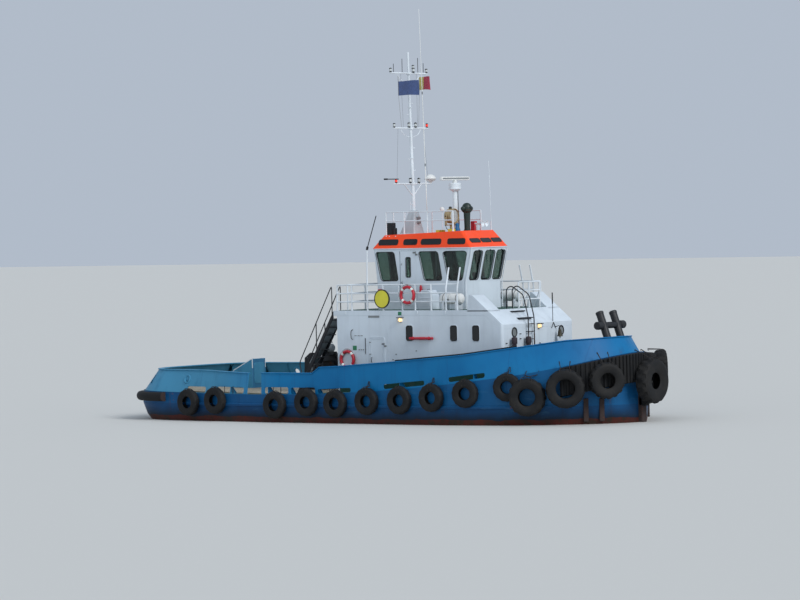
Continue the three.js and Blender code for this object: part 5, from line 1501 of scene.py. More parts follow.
def band_window(piece, surface, outline):
    # painted shade: the near-black pane stands for the unlit space behind the band
    piece.add(DARK_GLASS_AND_PAINTED_SHADE, patch(surface, outline, -0.01, 0.008))
    piece.add(GASKET, rim(surface, outline, 0.012, 0.004, 6))


def make_roof():
    outer = loft([
        roof_ring(ROOF_PLAN, 0, CABIN_TOP), roof_ring(ROOF_PLAN, 0, CABIN_TOP + 0.04),
        roof_ring(ROOF_TOP_PLAN, 0, roof_top),
    ])
    hollow = loft([
        roof_ring(ROOF_PLAN, 0.2, CABIN_TOP - 0.02), roof_ring(ROOF_PLAN, 0.2, CABIN_TOP + 0.06),
        roof_ring(ROOF_TOP_PLAN, 0.12, ROOF_AFT_Z - 0.09),
    ])
    piece = Piece().add(ORANGE, bevel(carve(outer, [hollow]), 0.012, 2, 20))
    edge = [Vector(p) for p in roof_ring(ROOF_PLAN, 0.014, CABIN_TOP + 0.012)]
    piece.add(WHITE, tube(edge, 0.022, 8, closed=True))
    for side in (-1, 1):
        surface = band_surface(0, side)
        spans = (-0.25, 0.67, 0.02), (0.94, 1.58, 0.0), (1.77, 2.71, -0.04), (3.02, 3.84, -0.08)
        for a0, a1, lean in spans:
            band_window(piece, surface, round_rect(a0, a1, 6.655, 6.86, 0.07, 5, lean))
    for way, spans in ((1, ((-0.98, -0.36), (-0.29, 0.33), (0.4, 1.0))), (-1, ((-0.95, -0.2), (0.2, 0.95)))):
        surface = band_surface(way)
        for a0, a1 in spans:
            band_window(piece, surface, round_rect(a0, a1, 6.66, 6.77, 0.05, 5))
    piece.add(LINING, loft([roof_ring(ROOF_PLAN, 0.215, CABIN_TOP + up) for up in (0.03, 0.05)]))
    for x in (0.05, 0.2, 0.5):
        for side in (-1, 1):
            p, n = band_surface(0, side)(x, 6.98)
            piece.add(WHITE_FINE, tube([p - n * 0.01, p + n * 0.02], 0.018, 6))
    return piece.done("wheelhouse_roof_cap", "orange_paint", "wheelhouse_roof")


make_deckhouse()
make_boat_deck()
make_wheelhouse()
make_roof()
for door_name, door_side in (("starboard", -1), ("port", 1)):
    make_house_door(door_name, door_side)
    make_cabin_door(door_name, door_side)
for node in ("glazing_forward", "glazing_aft"):
    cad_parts[node].data.materials.clear()
    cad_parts[node].data.materials.append(GLASS)


# Rails, ladders and deck gear
RAIL_Y, RAIL_HEIGHTS, RAIL_R, POST_R = HOUSE_HALF - 0.045, (4.53, 4.85, 5.17), 0.025, 0.031


def stanchion(piece, foot, head):
    piece.add(WHITE_FINE, tube([foot, head], POST_R, 10))
    flange = [(0.055, 0), (0.055, 0.008), (0.03, 0.016), (POST_R, 0.016), (POST_R, 0)]
    piece.add(WHITE_FINE, moved(lathe(flange, 12), foot))


def make_side_rail(name, side):
    piece, y = Piece(), side * RAIL_Y
    aft_x, tall_xs = -1.45, (3.69, 4.21) if side < 0 else (4.05, 4.53)
    for x in (aft_x, -0.75, 0.0, 0.75, 1.66, 2.26, 3.0):
        stanchion(piece, (x, y, BOAT_DECK_Z), (x, y, 5.17))
    for x in tall_xs:
        stanchion(piece, (x, y, BOAT_DECK_Z), (x, y, 4.87))
        tall = [(x, y, 4.85), (x, y, 5.0), (x, y - side * 0.22, 5.79)]
        piece.add(WHITE_FINE, tube(bent(tall, 0.12), POST_R, 10))
    if side < 0:
        # the tall post that holds the stern light, with its black whip
        piece.add(WHITE_FINE, tube([(0, y, 5.1), (0.03, y, 6.52)], 0.03, 10))
        piece.add(
            BLACK,
            tube([(0.03, y, 6.5), (0.06, y, 6.62)], 0.045, 10),
            tube([(0.06, y, 6.6), (0.5, y, 7.78)], 0.018, 8),
        )
    for z in RAIL_HEIGHTS:
        lean = side * 0.22 * max(z - 4.92, 0) / 0.87
        start = [(aft_x, y, z)] if side < 0 else [(aft_x, -1.6, z), (aft_x, y, z)]
        line = start + [(3.0, y, z), (tall_xs[0], y - lean, z), (tall_xs[1], y - lean, z)]
        piece.add(WHITE_FINE, tube(bent(line, 0.07), RAIL_R, 8))
    if side > 0:
        front = SLOPE_TOP - 0.07
        ahead = [(tall_xs[1], y - 0.05, 5.17), (front, y, 5.17), (front, y, SLOPE_HIGH)]
        piece.add(WHITE_FINE, tube(bent(ahead, 0.09, 6), RAIL_R, 8))
        for ay in (0.9, -0.5, -1.6):
            stanchion(piece, (aft_x, ay, BOAT_DECK_Z), (aft_x, ay, 5.17))
    return piece.done("boat_deck_rail_tubes_" + name, "white_paint", "boat_deck_rail_" + name)


def make_front_rail():
    piece, x = Piece(), 5.33
    foot = BOAT_DECK_Z
    for y in (0.13, 0.8, 1.5):
        stanchion(piece, (x, y, foot), (x, y, 5.17))
        piece.add(WHITE_FINE, tube([(x - 0.28, y, foot + 0.005), (x, y, 4.85)], 0.016, 8))
    for z in (4.52, 4.85, 5.17):
        piece.add(WHITE_FINE, tube([(x, 0.13, z), (x, 1.5, z)], RAIL_R, 8))
    piece.add(WHITE_FINE, tube([(x, 0.13, foot + 0.02), (x, 0.8, 4.85)], 0.012, 6))
    return piece.done("front_rail_tubes", "white_paint", "front_rail")


def make_roof_rail():
    piece, half = Piece(), 0.9
    for x in (-0.06, 0.8, 1.9, 3.1):
        for side in (-1, 1):
            stanchion(piece, (x, side * half, roof_top(x)), (x, side * half, 7.9))
    stanchion(piece, (-0.06, -0.43, roof_top(-0.06)), (-0.06, -0.43, 7.9))
    stanchion(piece, (-0.06, 0.3, roof_top(-0.06)), (-0.06, 0.3, 7.9))
    for z in (7.56, 7.9):
        line = [(3.1, -half, z), (-0.06, -half, z), (-0.06, half, z), (3.1, half, z)]
        piece.add(WHITE_FINE, tube(bent(line, 0.09), 0.021, 8))
    return piece.done("roof_rail_tubes", "white_paint", "roof_rail")


def make_stair():
    piece = Piece()
    top_x, top_z, foot_x, y0, y1, plate = -1.65, BOAT_DECK_Z - 0.02, -3.5, -2.28, -1.7, 0.04
    foot_z = deck_z(foot_x) - 0.01
    profile = [(top_x, top_z), (top_x, top_z - 0.26), (foot_x + 0.16, foot_z), (foot_x, foot_z)]
    for y in (y0, y1 - plate):
        piece.add(BLACK, prism(profile, y, y + plate, "y", 0.006))
    for f in frange(0.1, 0.92, 9):
        x, z = foot_x + (top_x - foot_x) * f, foot_z + (top_z - foot_z) * f
        piece.add(BLACK, block(x - 0.06, x + 0.17, y0 + 0.01, y1 - 0.01, z - 0.11, z - 0.08, 0.005))
        for k in range(4):
            a, b = x - 0.05 + k * 0.055, x - 0.03 + k * 0.055
            piece.add(STEEL, block(a, b, y0 + 0.06, y1 - 0.06, z - 0.081, z - 0.073))
    for y in (y0 + 0.02, y1 - 0.02):
        path = [
            (foot_x + 0.3, y, foot_z + 0.5), (foot_x + 0.15, y, foot_z + 1.15), (top_x - 0.06, y, 5.15),
            (top_x - 0.06, y, 4.0),
        ]
        piece.add(
            BLACK,
            tube(bent(path, 0.12), 0.02, 8),
            tube([(top_x - 0.85, y, 2.5), (top_x - 0.85, y, 3.73)], 0.02, 8),
        )
    # a pale plate under the upper half of the steps
    under = [(-2.9, 2.2), (-1.68, 3.9), (-1.68, 3.86), (-2.87, 2.18)]
    piece.add(GREY, prism(under, y0 + 0.05, y1 - 0.05, "y"))
    return piece.done("aft_stair_steps", "black_paint", "aft_stair")


def make_front_ladder():
    piece, ys, x = Piece(), (-0.79, -0.41), HOUSE_FRONT + 0.11
    low = deck_z(x) + 0.005
    for y in ys:
        piece.add(RUSTY, tube([(x, y, low), (x, y, 3.3)], 0.022, 8))
        places = (x, 3.3), (x, 3.9), (6.18, 4.72), (5.65, 5.06), (5.42, 4.95), (5.42, BOAT_DECK_Z)
        path = [(px, y, pz) for px, pz in places]
        piece.add(BLACK, tube(bent(path, 0.12), 0.022, 8))
        for z in (2.15, 3.35):
            piece.add(BLACK, tube([(HOUSE_FRONT - 0.005, y, z), (x, y, z)], 0.016, 8))
    for z in frange(low + 0.25, SLOPE_FOOT - 0.03, 6):
        piece.add(RUSTY, tube([(x, ys[0], z), (x, ys[1], z)], 0.016, 8))
    for tx, tz, y0, y1 in ((5.76, 4.11, -1.02, -0.16), (6.12, 3.86, -1.03, -0.17)):
        step = block(tx - 0.1, tx + 0.07, y0, y1, tz - 0.02, tz + 0.016, 0.006)
        piece.add(BLACK, step)
        for y in (y0 + 0.04, y1 - 0.04):
            piece.add(BLACK, block(tx - 0.09, tx, y - 0.008, y + 0.008, tz - 0.1, tz))
    return piece.done("front_ladder_rungs", "black_paint", "front_ladder")


def make_liferaft(name, side):
    piece, y, z = Piece(), side * 1.88, BOAT_DECK_Z + 0.42
    half = [
        (0.0, 0.5), (0.09, 0.495), (0.16, 0.47), (0.195, 0.42), (0.2, 0.3), (0.193, 0.29), (0.2, 0.28),
        (0.2, 0.12), (0.193, 0.11), (0.2, 0.1), (0.2, 0.025), (0.21, 0.02),
    ]
    profile = half + [(r, -h) for r, h in reversed(half)]
    piece.add(WHITE_PLASTIC, moved(lathe(profile, 32, axis="x"), (3.7, y, z)))
    for x in (3.4, 4.0):
        cradle = [
            (-0.2, 0), (0.2, 0), (0.2, 0.24), (0.17, 0.3), (0.12, 0.24), (0.0, 0.2), (-0.12, 0.24),
            (-0.17, 0.3), (-0.2, 0.24),
        ]
        shape = prism([(a, b + BOAT_DECK_Z) for a, b in cradle], x - 0.04, x + 0.04, "x", 0.006)
        piece.add(WHITE_FINE, moved(shape, (0, y, 0)))
        strap = [(x, y + 0.204 * math.cos(t), z + 0.204 * math.sin(t)) for t in frange(-0.5, pi + 0.5, 20)]
        piece.add(GASKET, tube(strap, 0.009, 5))
    piece.add(GREY, tube([(3.62, y + side * 0.2, z - 0.03), (3.72, y + side * 0.2, z - 0.03)], 0.035, 10))
    return piece.done("liferaft_canister_" + name, "white_plastic", "liferaft_" + name)


def make_locker():
    piece = Piece()
    x, y, z = 2.3, -1.45, BOAT_DECK_Z
    outline = [
        (-0.335, 0), (-0.335, 0.52), (-0.3, 0.6), (-0.19, 0.74), (0.19, 0.74), (0.3, 0.6), (0.335, 0.52),
        (0.335, 0),
    ]
    piece.add(WHITE, moved(prism(outline, -0.23, 0.23, "y", 0.02), (x, y, z)))
    for k in range(6):
        zz = z + 0.16 + k * 0.055
        piece.add(WHITE_FINE, block(x - 0.22, x + 0.22, y - 0.25, y - 0.225, zz, zz + 0.022, 0.004))
    grip = [(x + a, y, z + b) for a, b in ((-0.05, 0.735), (-0.05, 0.77), (0.05, 0.77), (0.05, 0.735))]
    piece.add(STEEL, tube(grip, 0.01, 6))
    return piece.done("vent_locker_box", "white_paint", "vent_locker")


def ring_arc(radius, thick, a0, a1, sides=12):
    turns = [math.radians(t) for t in frange(a0, a1, max(2, int((a1 - a0) / 7)))]
    return tube([(radius * math.cos(t), 0, radius * math.sin(t)) for t in turns], thick, sides)


def make_life_ring(name, at, node):
    piece = Piece()
    for k in range(4):
        piece.add(RED, moved(ring_arc(0.3, 0.0595, 45 + 90 * k + 9, 45 + 90 * k + 81), at))
        piece.add(WHITE_PLASTIC, moved(ring_arc(0.3, 0.0605, 45 + 90 * k - 9, 45 + 90 * k + 9), at))
        a = math.radians(45 + 90 * k)
        line = [(0.365 * math.cos(a), 0, 0.365 * math.sin(a))]
        for f in frange(0.06, 0.94, 8):
            r, t = 0.366 + 0.035 * math.sin(pi * f), a + f * pi / 2
            line.append((r * math.cos(t), -0.01, r * math.sin(t)))
        line.append((0.365 * math.cos(a + pi / 2), 0, 0.365 * math.sin(a + pi / 2)))
        piece.add(ROPE, moved(tube(line, 0.008, 5), at))
    wall = 0.075 if node == "life_ring_aft" else 0.06
    for a in (-35, 215, 90):
        t = math.radians(a)
        p = Vector(at) + Vector((0.3 * math.cos(t), 0, 0.3 * math.sin(t)))
        hook = [
            p + Vector((0, wall, 0)), p + Vector((0, 0.05, 0)),
            p + Vector((0.38 * math.cos(t) - 0.3 * math.cos(t), 0, 0.08 * math.sin(t))),
        ]
        piece.add(STEEL, tube(hook, 0.012, 6))
    return piece.done(name, "red_plastic", node)


def make_disc():
    piece = Piece()
    at = (0.73, -RAIL_Y - 0.0513, 4.64)
    profile = [(0, -0.018), (0.325, -0.018), (0.325, 0.018), (0, 0.018)]
    piece.add(YELLOW, moved(lathe(profile, 48, axis="y"), at))
    edge = [(0.322, -0.025), (0.355, -0.025), (0.36, -0.015), (0.36, 0.015), (0.355, 0.025), (0.322, 0.025)]
    piece.add(BLACK, moved(lathe(edge, 48, True, "y"), at))
    for x in (0.53, 0.93):
        piece.add(STEEL, tube([(x, at[1] + 0.02, 4.85), (x, -RAIL_Y, 4.85)], 0.012, 6))
    return piece.done("rail_disc_plate", "yellow_paint", "rail_disc")


# Roof gear
def make_binnacle():
    piece, x, z = Piece(), 3.11, roof_top(3.11) - 0.015
    body = [
        (0, 0), (0.15, 0), (0.15, 0.03), (0.12, 0.06), (0.11, 0.12), (0.115, 0.4), (0.13, 0.7), (0.15, 0.72),
        (0.185, 0.76), (0.19, 0.78), (0.19, 0.9), (0.18, 0.94), (0.15, 1.01), (0.1, 1.055), (0.04, 1.075),
        (0, 1.08),
    ]
    piece.add(GREEN, moved(lathe(body, 32), (x, 0, z)))
    for side in (-1, 1):
        ball = [(0.095 * math.sin(t), -0.095 * math.cos(t)) for t in frange(0, pi, 12)]
        piece.add(GREEN, moved(lathe([(max(r, 0), h) for r, h in ball], 20), (x, side * 0.24, z + 0.86)))
        piece.add(BRASS, tube([(x, side * 0.12, z + 0.86), (x, side * 0.24, z + 0.86)], 0.03, 10))
    band = [(0.192, 0.8), (0.2, 0.81), (0.2, 0.83), (0.192, 0.84)]
    piece.add(BRASS, moved(lathe(band, 32, True), (x, 0, z)))
    piece.add(DARK_GLASS_AND_PAINTED_SHADE, block(x + 0.15, x + 0.2, -0.06, 0.06, z + 0.84, z + 0.92, 0.01))
    return piece.done("compass_binnacle_case", "green_paint", "compass_binnacle")


def make_searchlight():
    piece, x, y = Piece(), 2.72, -0.5
    z = roof_top(x) - 0.015
    drum = [
        (0, -0.19), (0.15, -0.188), (0.24, -0.15), (0.275, -0.08), (0.28, 0.0), (0.28, 0.14), (0.29, 0.15),
        (0.29, 0.185), (0.27, 0.19), (0.26, 0.15),
    ]
    piece.add(BEIGE, moved(lathe(drum + [(0.0, 0.14)], 32, axis="x"), (x, y, z + 0.6)))
    lens = [(0, 0.165), (0.14, 0.162), (0.255, 0.147), (0.255, 0.14), (0, 0.14)]
    piece.add(LAMP_GLASS, moved(lathe(lens, 32, axis="x"), (x, y, z + 0.6)))
    for k in range(5):
        a = -0.18 + 0.09 * k
        rise = math.sqrt(0.272 ** 2 - a * a)
        wire = [(x + 0.184, y + a, z + 0.6 - rise), (x + 0.184, y + a, z + 0.6 + rise)]
        piece.add(STEEL, tube(wire, 0.004, 4))
    stem = [(0, 0), (0.09, 0), (0.09, 0.02), (0.05, 0.04)]
    stem += [(0.05, 0.25), (0.07, 0.26), (0.07, 0.29), (0, 0.29)]
    yoke = block(x - 0.05, x + 0.05, y - 0.348, y + 0.348, z + 0.245, z + 0.285, 0.008)
    piece.add(BEIGE, moved(lathe(stem, 20), (x, y, z)), yoke)
    for side in (-1, 1):
        ys = sorted((y + side * 0.31, y + side * 0.348))
        piece.add(BEIGE, block(x - 0.05, x + 0.05, *ys, z + 0.245, z + 0.638, 0.01))
        piece.add(BLACK, tube([(x, y + side * 0.26, z + 0.6), (x, y + side * 0.349, z + 0.6)], 0.03, 12))
    cable = [(x + a, y, z + b) for a, b in ((-0.17, 0.5), (-0.3, 0.35), (-0.2, 0.1), (-0.04, 0.06))]
    piece.add(GASKET, tube(bent(cable, 0.1), 0.011, 6))
    knob = [(0.0, 0.0), (0.06, 0.01), (0.06, 0.1), (0.0, 0.12)]
    piece.add(BRASS, moved(lathe(knob, 12), (x - 0.02, y, z + 0.85)))
    return piece.done("searchlight_lamp", "beige_paint", "searchlight")


def make_radar():
    piece, x = Piece(), 2.57
    z = roof_top(x) - 0.015
    post = [
        (0, 0), (0.2, 0), (0.2, 0.02), (0.14, 0.03), (0.115, 0.6), (0.09, 1.2), (0.088, 1.52), (0.13, 1.55),
        (0.235, 1.62), (0.24, 1.64), (0.24, 1.66), (0.225, 1.7), (0.235, 1.74), (0.235, 1.84), (0.22, 1.86),
        (0, 1.86),
    ]
    piece.add(WHITE_FINE, moved(lathe(post, 32), (x, 0, z)))
    for a in range(4):
        gusset = [(0.08, 0.02), (0.19, 0.02), (0.11, 0.3)]
        piece.add(WHITE_FINE, moved(prism(gusset, -0.006, 0.006, "y"), (x, 0, z), rot("Z", 45 + 90 * a)))
        bx, by = x + 0.19 * math.cos(a * pi / 2), 0.19 * math.sin(a * pi / 2)
        piece.add(STEEL, tube([(bx, by, z + 1.6), (bx, by, z + 1.66)], 0.014, 6))
    piece.add(WHITE_PLASTIC, block(x - 0.16, x + 0.12, -0.16, 0.16, z + 1.64, z + 1.855, 0.03, 2))
    cable = [(x + a, 0.05, z + b) for a, b in ((0.1, 0.02), (0.135, 0.3), (0.1, 1.2), (0.1, 1.6))]
    piece.add(GASKET, tube(bent(cable, 0.05), 0.012, 6))
    piece.done("radar_pedestal_post", "white_paint", "radar_pedestal")
    piece, top = Piece(), z + 1.86
    spindle = [(0, 0.001), (0.09, 0.001), (0.09, 0.06), (0.06, 0.1), (0.06, 0.14), (0, 0.14)]
    piece.add(WHITE_PLASTIC, moved(lathe(spindle, 24), (x, 0, top)))
    bar = [
        (-0.06, 0.105), (-0.045, 0.1), (0.045, 0.1), (0.06, 0.115), (0.06, 0.225), (0.045, 0.24),
        (-0.03, 0.24), (-0.06, 0.215),
    ]
    ends = [(0.9, 0.6), (0.89, 0.92), (0.86, 1), (-0.86, 1), (-0.89, 0.92), (-0.9, 0.6)]
    rings = [[(x + a * k, y, top + 0.17 + (b - 0.17) * k) for a, b in bar] for y, k in ends]
    piece.add(WHITE_PLASTIC, loft(rings))
    piece.add(GREY, block(x + 0.055, x + 0.0615, -0.84, 0.84, top + 0.14, top + 0.2, 0.003))
    piece.done("radar_scanner_bar", "grey_paint", "radar_scanner", "scanner")


MAST_X, MAST_BASE, MAST_TOP, MAST_RAKE, MAST_FOOT_X = 0.62, 7.0, 14.0, -0.14, 0.495
# Height and half length of each yard
YARDS = [(8.98, 1.2), (11.1, 1.08), (13.2, 1.18)]
# Each flag's distance to port, its length and height, and the height of its head
FLAGS = {"house": (-0.67, 0.95, 0.54, 12.9), "small": (0.68, 0.52, 0.49, 13.08)}
HALYARD = 0.008


def mast_x(z):
    return MAST_X + MAST_RAKE * (z - MAST_BASE) / (MAST_TOP - MAST_BASE)


def lantern(piece, x, y, z, lens, size=1.0):
    """A navigation light: base, lens with ribs, cap."""
    base = [(0, 0), (0.05, 0), (0.05, 0.03), (0.035, 0.04), (0, 0.04)]
    body = [
        (0, 0.035), (0.042, 0.035), (0.048, 0.05), (0.044, 0.06), (0.05, 0.075), (0.044, 0.09), (0.05, 0.105),
        (0.044, 0.12), (0.046, 0.13), (0, 0.13),
    ]
    cap = [(0, 0.128), (0.055, 0.128), (0.05, 0.15), (0.015, 0.165), (0, 0.17)]
    for finish, profile, sides in ((BLACK, base, 14), (lens, body, 16), (BLACK, cap, 14)):
        piece.add(finish, moved(lathe([(r * size, h * size) for r, h in profile], sides), (x, y, z)))


def make_mast():
    piece = Piece()
    rings = []
    for z, half in ((roof_top(MAST_FOOT_X) - 0.03, 0.355), (7.95, 0.13)):
        cx = MAST_FOOT_X if z < 7.5 else mast_x(7.95)
        rings.append([(cx + a, b, z) for a, b in round_rect(-half, half, -half, half, 0.04, 4)])
    piece.add(PALE_GREY, bevel(loft(rings), 0.006, 1, 50))
    piece.add(WHITE_FINE, tube([(mast_x(z), 0, z) for z in (7.7, 9, 10.5, 12, MAST_TOP)], 0.075, 20, 0.04))
    band = [(0.05, -0.02), (0.085, -0.015), (0.085, 0.015), (0.05, 0.02)]
    collar = [(0.06, -0.05), (0.1, -0.04), (0.1, 0.04), (0.06, 0.05)]
    for z in (9.95, 11.9):
        piece.add(WHITE_FINE, moved(lathe(band, 20, True), (mast_x(z), 0, z)))
    for z, half in YARDS:
        x = mast_x(z)
        yard = tube([(x, -half, z), (x, half, z)], 0.03, 10)
        piece.add(WHITE_FINE, yard, moved(lathe(collar, 20, True), (x, 0, z)))
    low, mid, high = [(mast_x(z), z) for z, _ in YARDS]
    for side in (-1, 1):
        piece.add(WHITE_FINE, tube([(mast_x(8.5), 0, 8.5), (low[0], side * 0.56, 8.97)], 0.022, 8))
        for (x, z), reach, drop in ((mid, 0.62, 0.34), (high, 0.7, 0.36)):
            arm = [(x, side * reach * math.sin(t), z - drop * math.cos(t)) for t in frange(0, pi / 2, 9)]
            piece.add(WHITE_FINE, tube(arm, 0.014, 6))
    white, red = LAMP_GLASS, RED_LAMP
    for (x, z), y, lens in (
        (high, -1.14, white), (high, 1.14, white), (mid, -1.04, white), (mid, 1.04, red), (low, -1.05, red),
    ):
        lantern(piece, x, y, z + 0.028, lens)
    for (x, z), ys in ((mid, (-0.12, 0.3)), (low, (-0.16, 0.38)), (high, (0.29,))):
        for y in ys:
            lantern(piece, x + 0.01, y, z + 0.03, white, 1.15)
    lantern(piece, high[0], 0.29, 13.36, white)
    piece.add(BLACK, tube([(high[0], 0.29, 13.2), (high[0], 0.29, 13.37)], 0.012, 6))
    for y, top in ((-0.95, 13.55), (-0.4, 13.75), (0.6, 13.8), (0.95, 13.6)):
        piece.add(BLACK, tube([(high[0], y, 13.2), (high[0], y, top)], 0.011, 6))
    piece.add(BLACK, tube([(mast_x(14.0), 0, 13.9), (mast_x(14.0), 0, 13.998)], 0.02, 8))
    # a dark bar on the end of the lower yard, and an anemometer arm
    piece.add(
        BLACK,
        tube([(low[0], -1.78, 9.16), (low[0], -0.9, 9.16)], 0.018, 8),
        tube([(low[0], -1.0, 9.0), (low[0], -1.0, 9.17)], 0.014, 6),
        block(low[0] - 0.03, low[0] + 0.03, -1.8, -1.6, 9.13, 9.19, 0.012),
    )
    for i, z in enumerate(frange(8.2, 12.9, 11)):
        side = 1 if i % 2 else -1
        x = mast_x(z)
        step = [(x, 0, z), (x, side * 0.2, z), (x, side * 0.21, z + 0.03)]
        piece.add(WHITE_FINE, tube(step, 0.012, 6))
    for y, _, height, head in FLAGS.values():
        x = high[0]
        piece.add(
            ROPE,
            tube([(x, y, 13.2), (x, y, head - height)], HALYARD, 6),
            tube([(x, y, head - height), (x + 0.02, y * 0.8, 11.1)], 0.005, 5),
        )
    for side in (-1, 1):
        for (xa, za), (xb, zb), ya, yb in ((high, mid, 0.5, 0.45), (mid, low, 0.8, 1.0)):
            piece.add(STEEL, tube([(xa, side * ya, za), (xb, side * yb, zb)], 0.005, 5))
    low, high = roof_top(0.1) - 0.03, roof_top(0.9) + 0.012
    piece.add(WHITE_FINE, block(MAST_FOOT_X - 0.4, MAST_FOOT_X + 0.4, -0.4, 0.4, low, high, 0.01))
    for z in (7.45, 7.62):
        piece.add(GREY, block(mast_x(z) + 0.1, mast_x(z) + 0.28, -0.07, 0.07, z, z + 0.09, 0.015))
    return piece.done("mast_and_yards", "white_paint", "mast")


def make_dome():
    x, z = mast_x(8.98), 8.98 + 0.03
    profile = [
        (0, 0), (0.06, 0), (0.06, 0.03), (0.14, 0.06), (0.2, 0.1), (0.222, 0.14), (0.218, 0.18), (0.19, 0.23),
        (0.14, 0.28), (0.07, 0.312), (0, 0.32),
    ]
    piece = Piece().add(WHITE_PLASTIC, moved(lathe(profile, 32), (x, 1.13, z)))
    band = [(0.216, 0.125), (0.225, 0.13), (0.225, 0.145), (0.216, 0.15)]
    piece.add(GREY, moved(lathe(band, 32, True), (x, 1.13, z)))
    return piece.done("satellite_dome_shell", "white_plastic", "satellite_dome")


def make_whip():
    foot, top = Vector((1.03, 0.3, roof_top(1.03) - 0.015)), Vector((-0.2, 0, 8.6))
    piece = Piece().add(WHITE_PLASTIC, tube([foot + top * f for f in frange(0.02, 1, 12)], 0.02, 8, 0.008))
    piece.add(STEEL, tube([foot, foot + top * 0.03], 0.024, 12))
    for f in (0.3, 0.62):
        piece.add(STEEL, tube([foot + top * f, foot + top * (f + 0.012)], 0.022, 10))
    return piece.done("whip_aerial", "white_plastic", "whip_antenna")


def make_roof_extras():
    """Small gear on the wheelhouse roof."""
    piece = Piece()

    def on_roof(x):
        return roof_top(x) - 0.02

    piece.add(
        BLACK,
        block(-0.33, 0.02, -0.62, -0.38, on_roof(-0.3), 7.5, 0.03, 2),
        block(0.0, 0.1, -0.6, -0.4, on_roof(0.0), 7.3, 0.02),
    )
    piece.add(
        YELLOW,
        block(2.15, 2.3, -0.72, -0.3, on_roof(2.15), 7.19, 0.01),
        block(2.7, 3.0, -0.7, -0.32, on_roof(2.7), 7.22, 0.01),
    )
    vent = [(0, 0), (0.1, 0), (0.1, 0.1), (0.07, 0.16), (0.07, 0.3), (0, 0.34)]
    piece.add(BLUE, moved(lathe(vent, 16), (3.02, -0.52, on_roof(3.02))))
    piece.add(RED, block(2.95, 3.15, 0.42, 0.6, on_roof(2.95), 7.5, 0.02))
    piece.add(
        WHITE_FINE,
        tube([(3.58, 0.9, on_roof(3.58)), (3.58, 0.9, 7.5)], 0.02, 8),
        tube([(3.58, 0.9, 7.5), (3.56, 0.9, 8.6), (3.52, 0.9, 9.78)], 0.009, 6),
    )
    horn = [(0, 0), (0.03, 0), (0.03, 0.1), (0.04, 0.2), (0.07, 0.3), (0.12, 0.36), (0.11, 0.36), (0, 0.2)]
    for y in (0.25, 0.5):
        piece.add(
            WHITE_FINE,
            moved(lathe(horn, 18, axis="x"), (3.3, y, 7.4)),
            tube([(3.36, y, 7.4), (3.36, y, on_roof(3.36))], 0.02, 8),
        )
    for x, y, top in ((1.5, 0.6, 7.9), (0.0, 0.6, 8.3), (1.9, -0.6, 7.6)):
        piece.add(WHITE_FINE, tube([(x, y, on_roof(x)), (x, y, top)], 0.012, 6))
    cap = [(0, 0), (0.07, 0), (0.09, 0.05), (0.09, 0.1), (0.05, 0.16), (0, 0.17)]
    piece.add(WHITE_PLASTIC, moved(lathe(cap, 20), (1.5, 0.6, 7.9)))
    return piece.done("roof_gear", "black_paint")


def make_flag(name, finish, folds):
    y0, long, high, head = FLAGS[name]
    x0 = mast_x(13.2) + HALYARD + 0.0003
    columns, rows = 40, 14

    def at(u, v):
        x = u * (long - HALYARD) * (1 - 0.01 * math.cos(3 * u))
        sway = 0.05 * u ** 0.7 * math.sin(folds * 2 * pi * u + 1.4 * v)
        return x, sway, -v * high + 0.03 * u * math.sin(2.5 * u + v)

    grid = [[Vector(at(i / columns, j / rows)) for i in range(columns + 1)] for j in range(rows + 1)]
    top = max(p.z for row in grid for p in row)
    points = [(p.x, p.y, p.z - max(top, 0)) for row in grid for p in row]
    w = columns + 1
    firsts = [j * w + i for j in range(rows) for i in range(columns)]
    faces = [[k, k + 1, k + w + 1, k + w] for k in firsts]
    mesh = bpy.data.meshes.new(name + "_flag_cloth")
    mesh.from_pydata([(x0 + x, y0 + y, head + z) for x, y, z in points], [], faces)
    mesh.materials.append(finish)
    mesh.polygons.foreach_set("use_smooth", [True] * len(mesh.polygons))
    flag = linked(name + "_flag_cloth", mesh)
    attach(flag, "root")
    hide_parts(name + "_flag")


# Foredeck, winch, hatch
def make_bitt():
    piece = Piece()
    half, r, top_x, top_z, lean, bar_z = 0.44, 0.15, 9.34, 4.07, 0.36, 3.56

    def at(z):
        return top_x + (top_z - z) * lean

    for side in (-1, 1):
        axis = Vector((at(2.05) - at(top_z), 0, 2.05 - top_z)).normalized()
        turn = Vector((0, 0, -1)).rotation_difference(axis).to_matrix().to_4x4()
        length = (Vector((at(2.05), 0, 2.05)) - Vector((at(top_z), 0, top_z))).length
        post = [
            (0, 0), (0.11, 0), (0.13, -0.012), (r, -0.03), (r, -0.1), (r - 0.008, -0.11),
            (r - 0.008, -length + 0.35), (r, -length + 0.34), (r, -length), (0, -length),
        ]
        piece.add(BLACK, moved(lathe(post, 28), (at(top_z), side * half, top_z), turn))
        flange = lathe([(0.12, 0), (0.26, 0), (0.26, 0.02), (0.16, 0.04)], 28, True)
        piece.add(BLACK, moved(flange, (at(deck_z(9.98)), side * half, deck_z(9.98) - 0.01)))
    bar = [
        (0, -0.875), (0.13, -0.875), (0.15, -0.86), (0.15, -0.62), (0.12, -0.6), (0.12, 0.6), (0.15, 0.62),
        (0.15, 0.86), (0.13, 0.875), (0, 0.875),
    ]
    piece.add(BLACK, moved(lathe(bar, 28, axis="y"), (at(bar_z), 0, bar_z)))
    return piece.done("towing_bitt_posts", "black_paint", "towing_bitt")


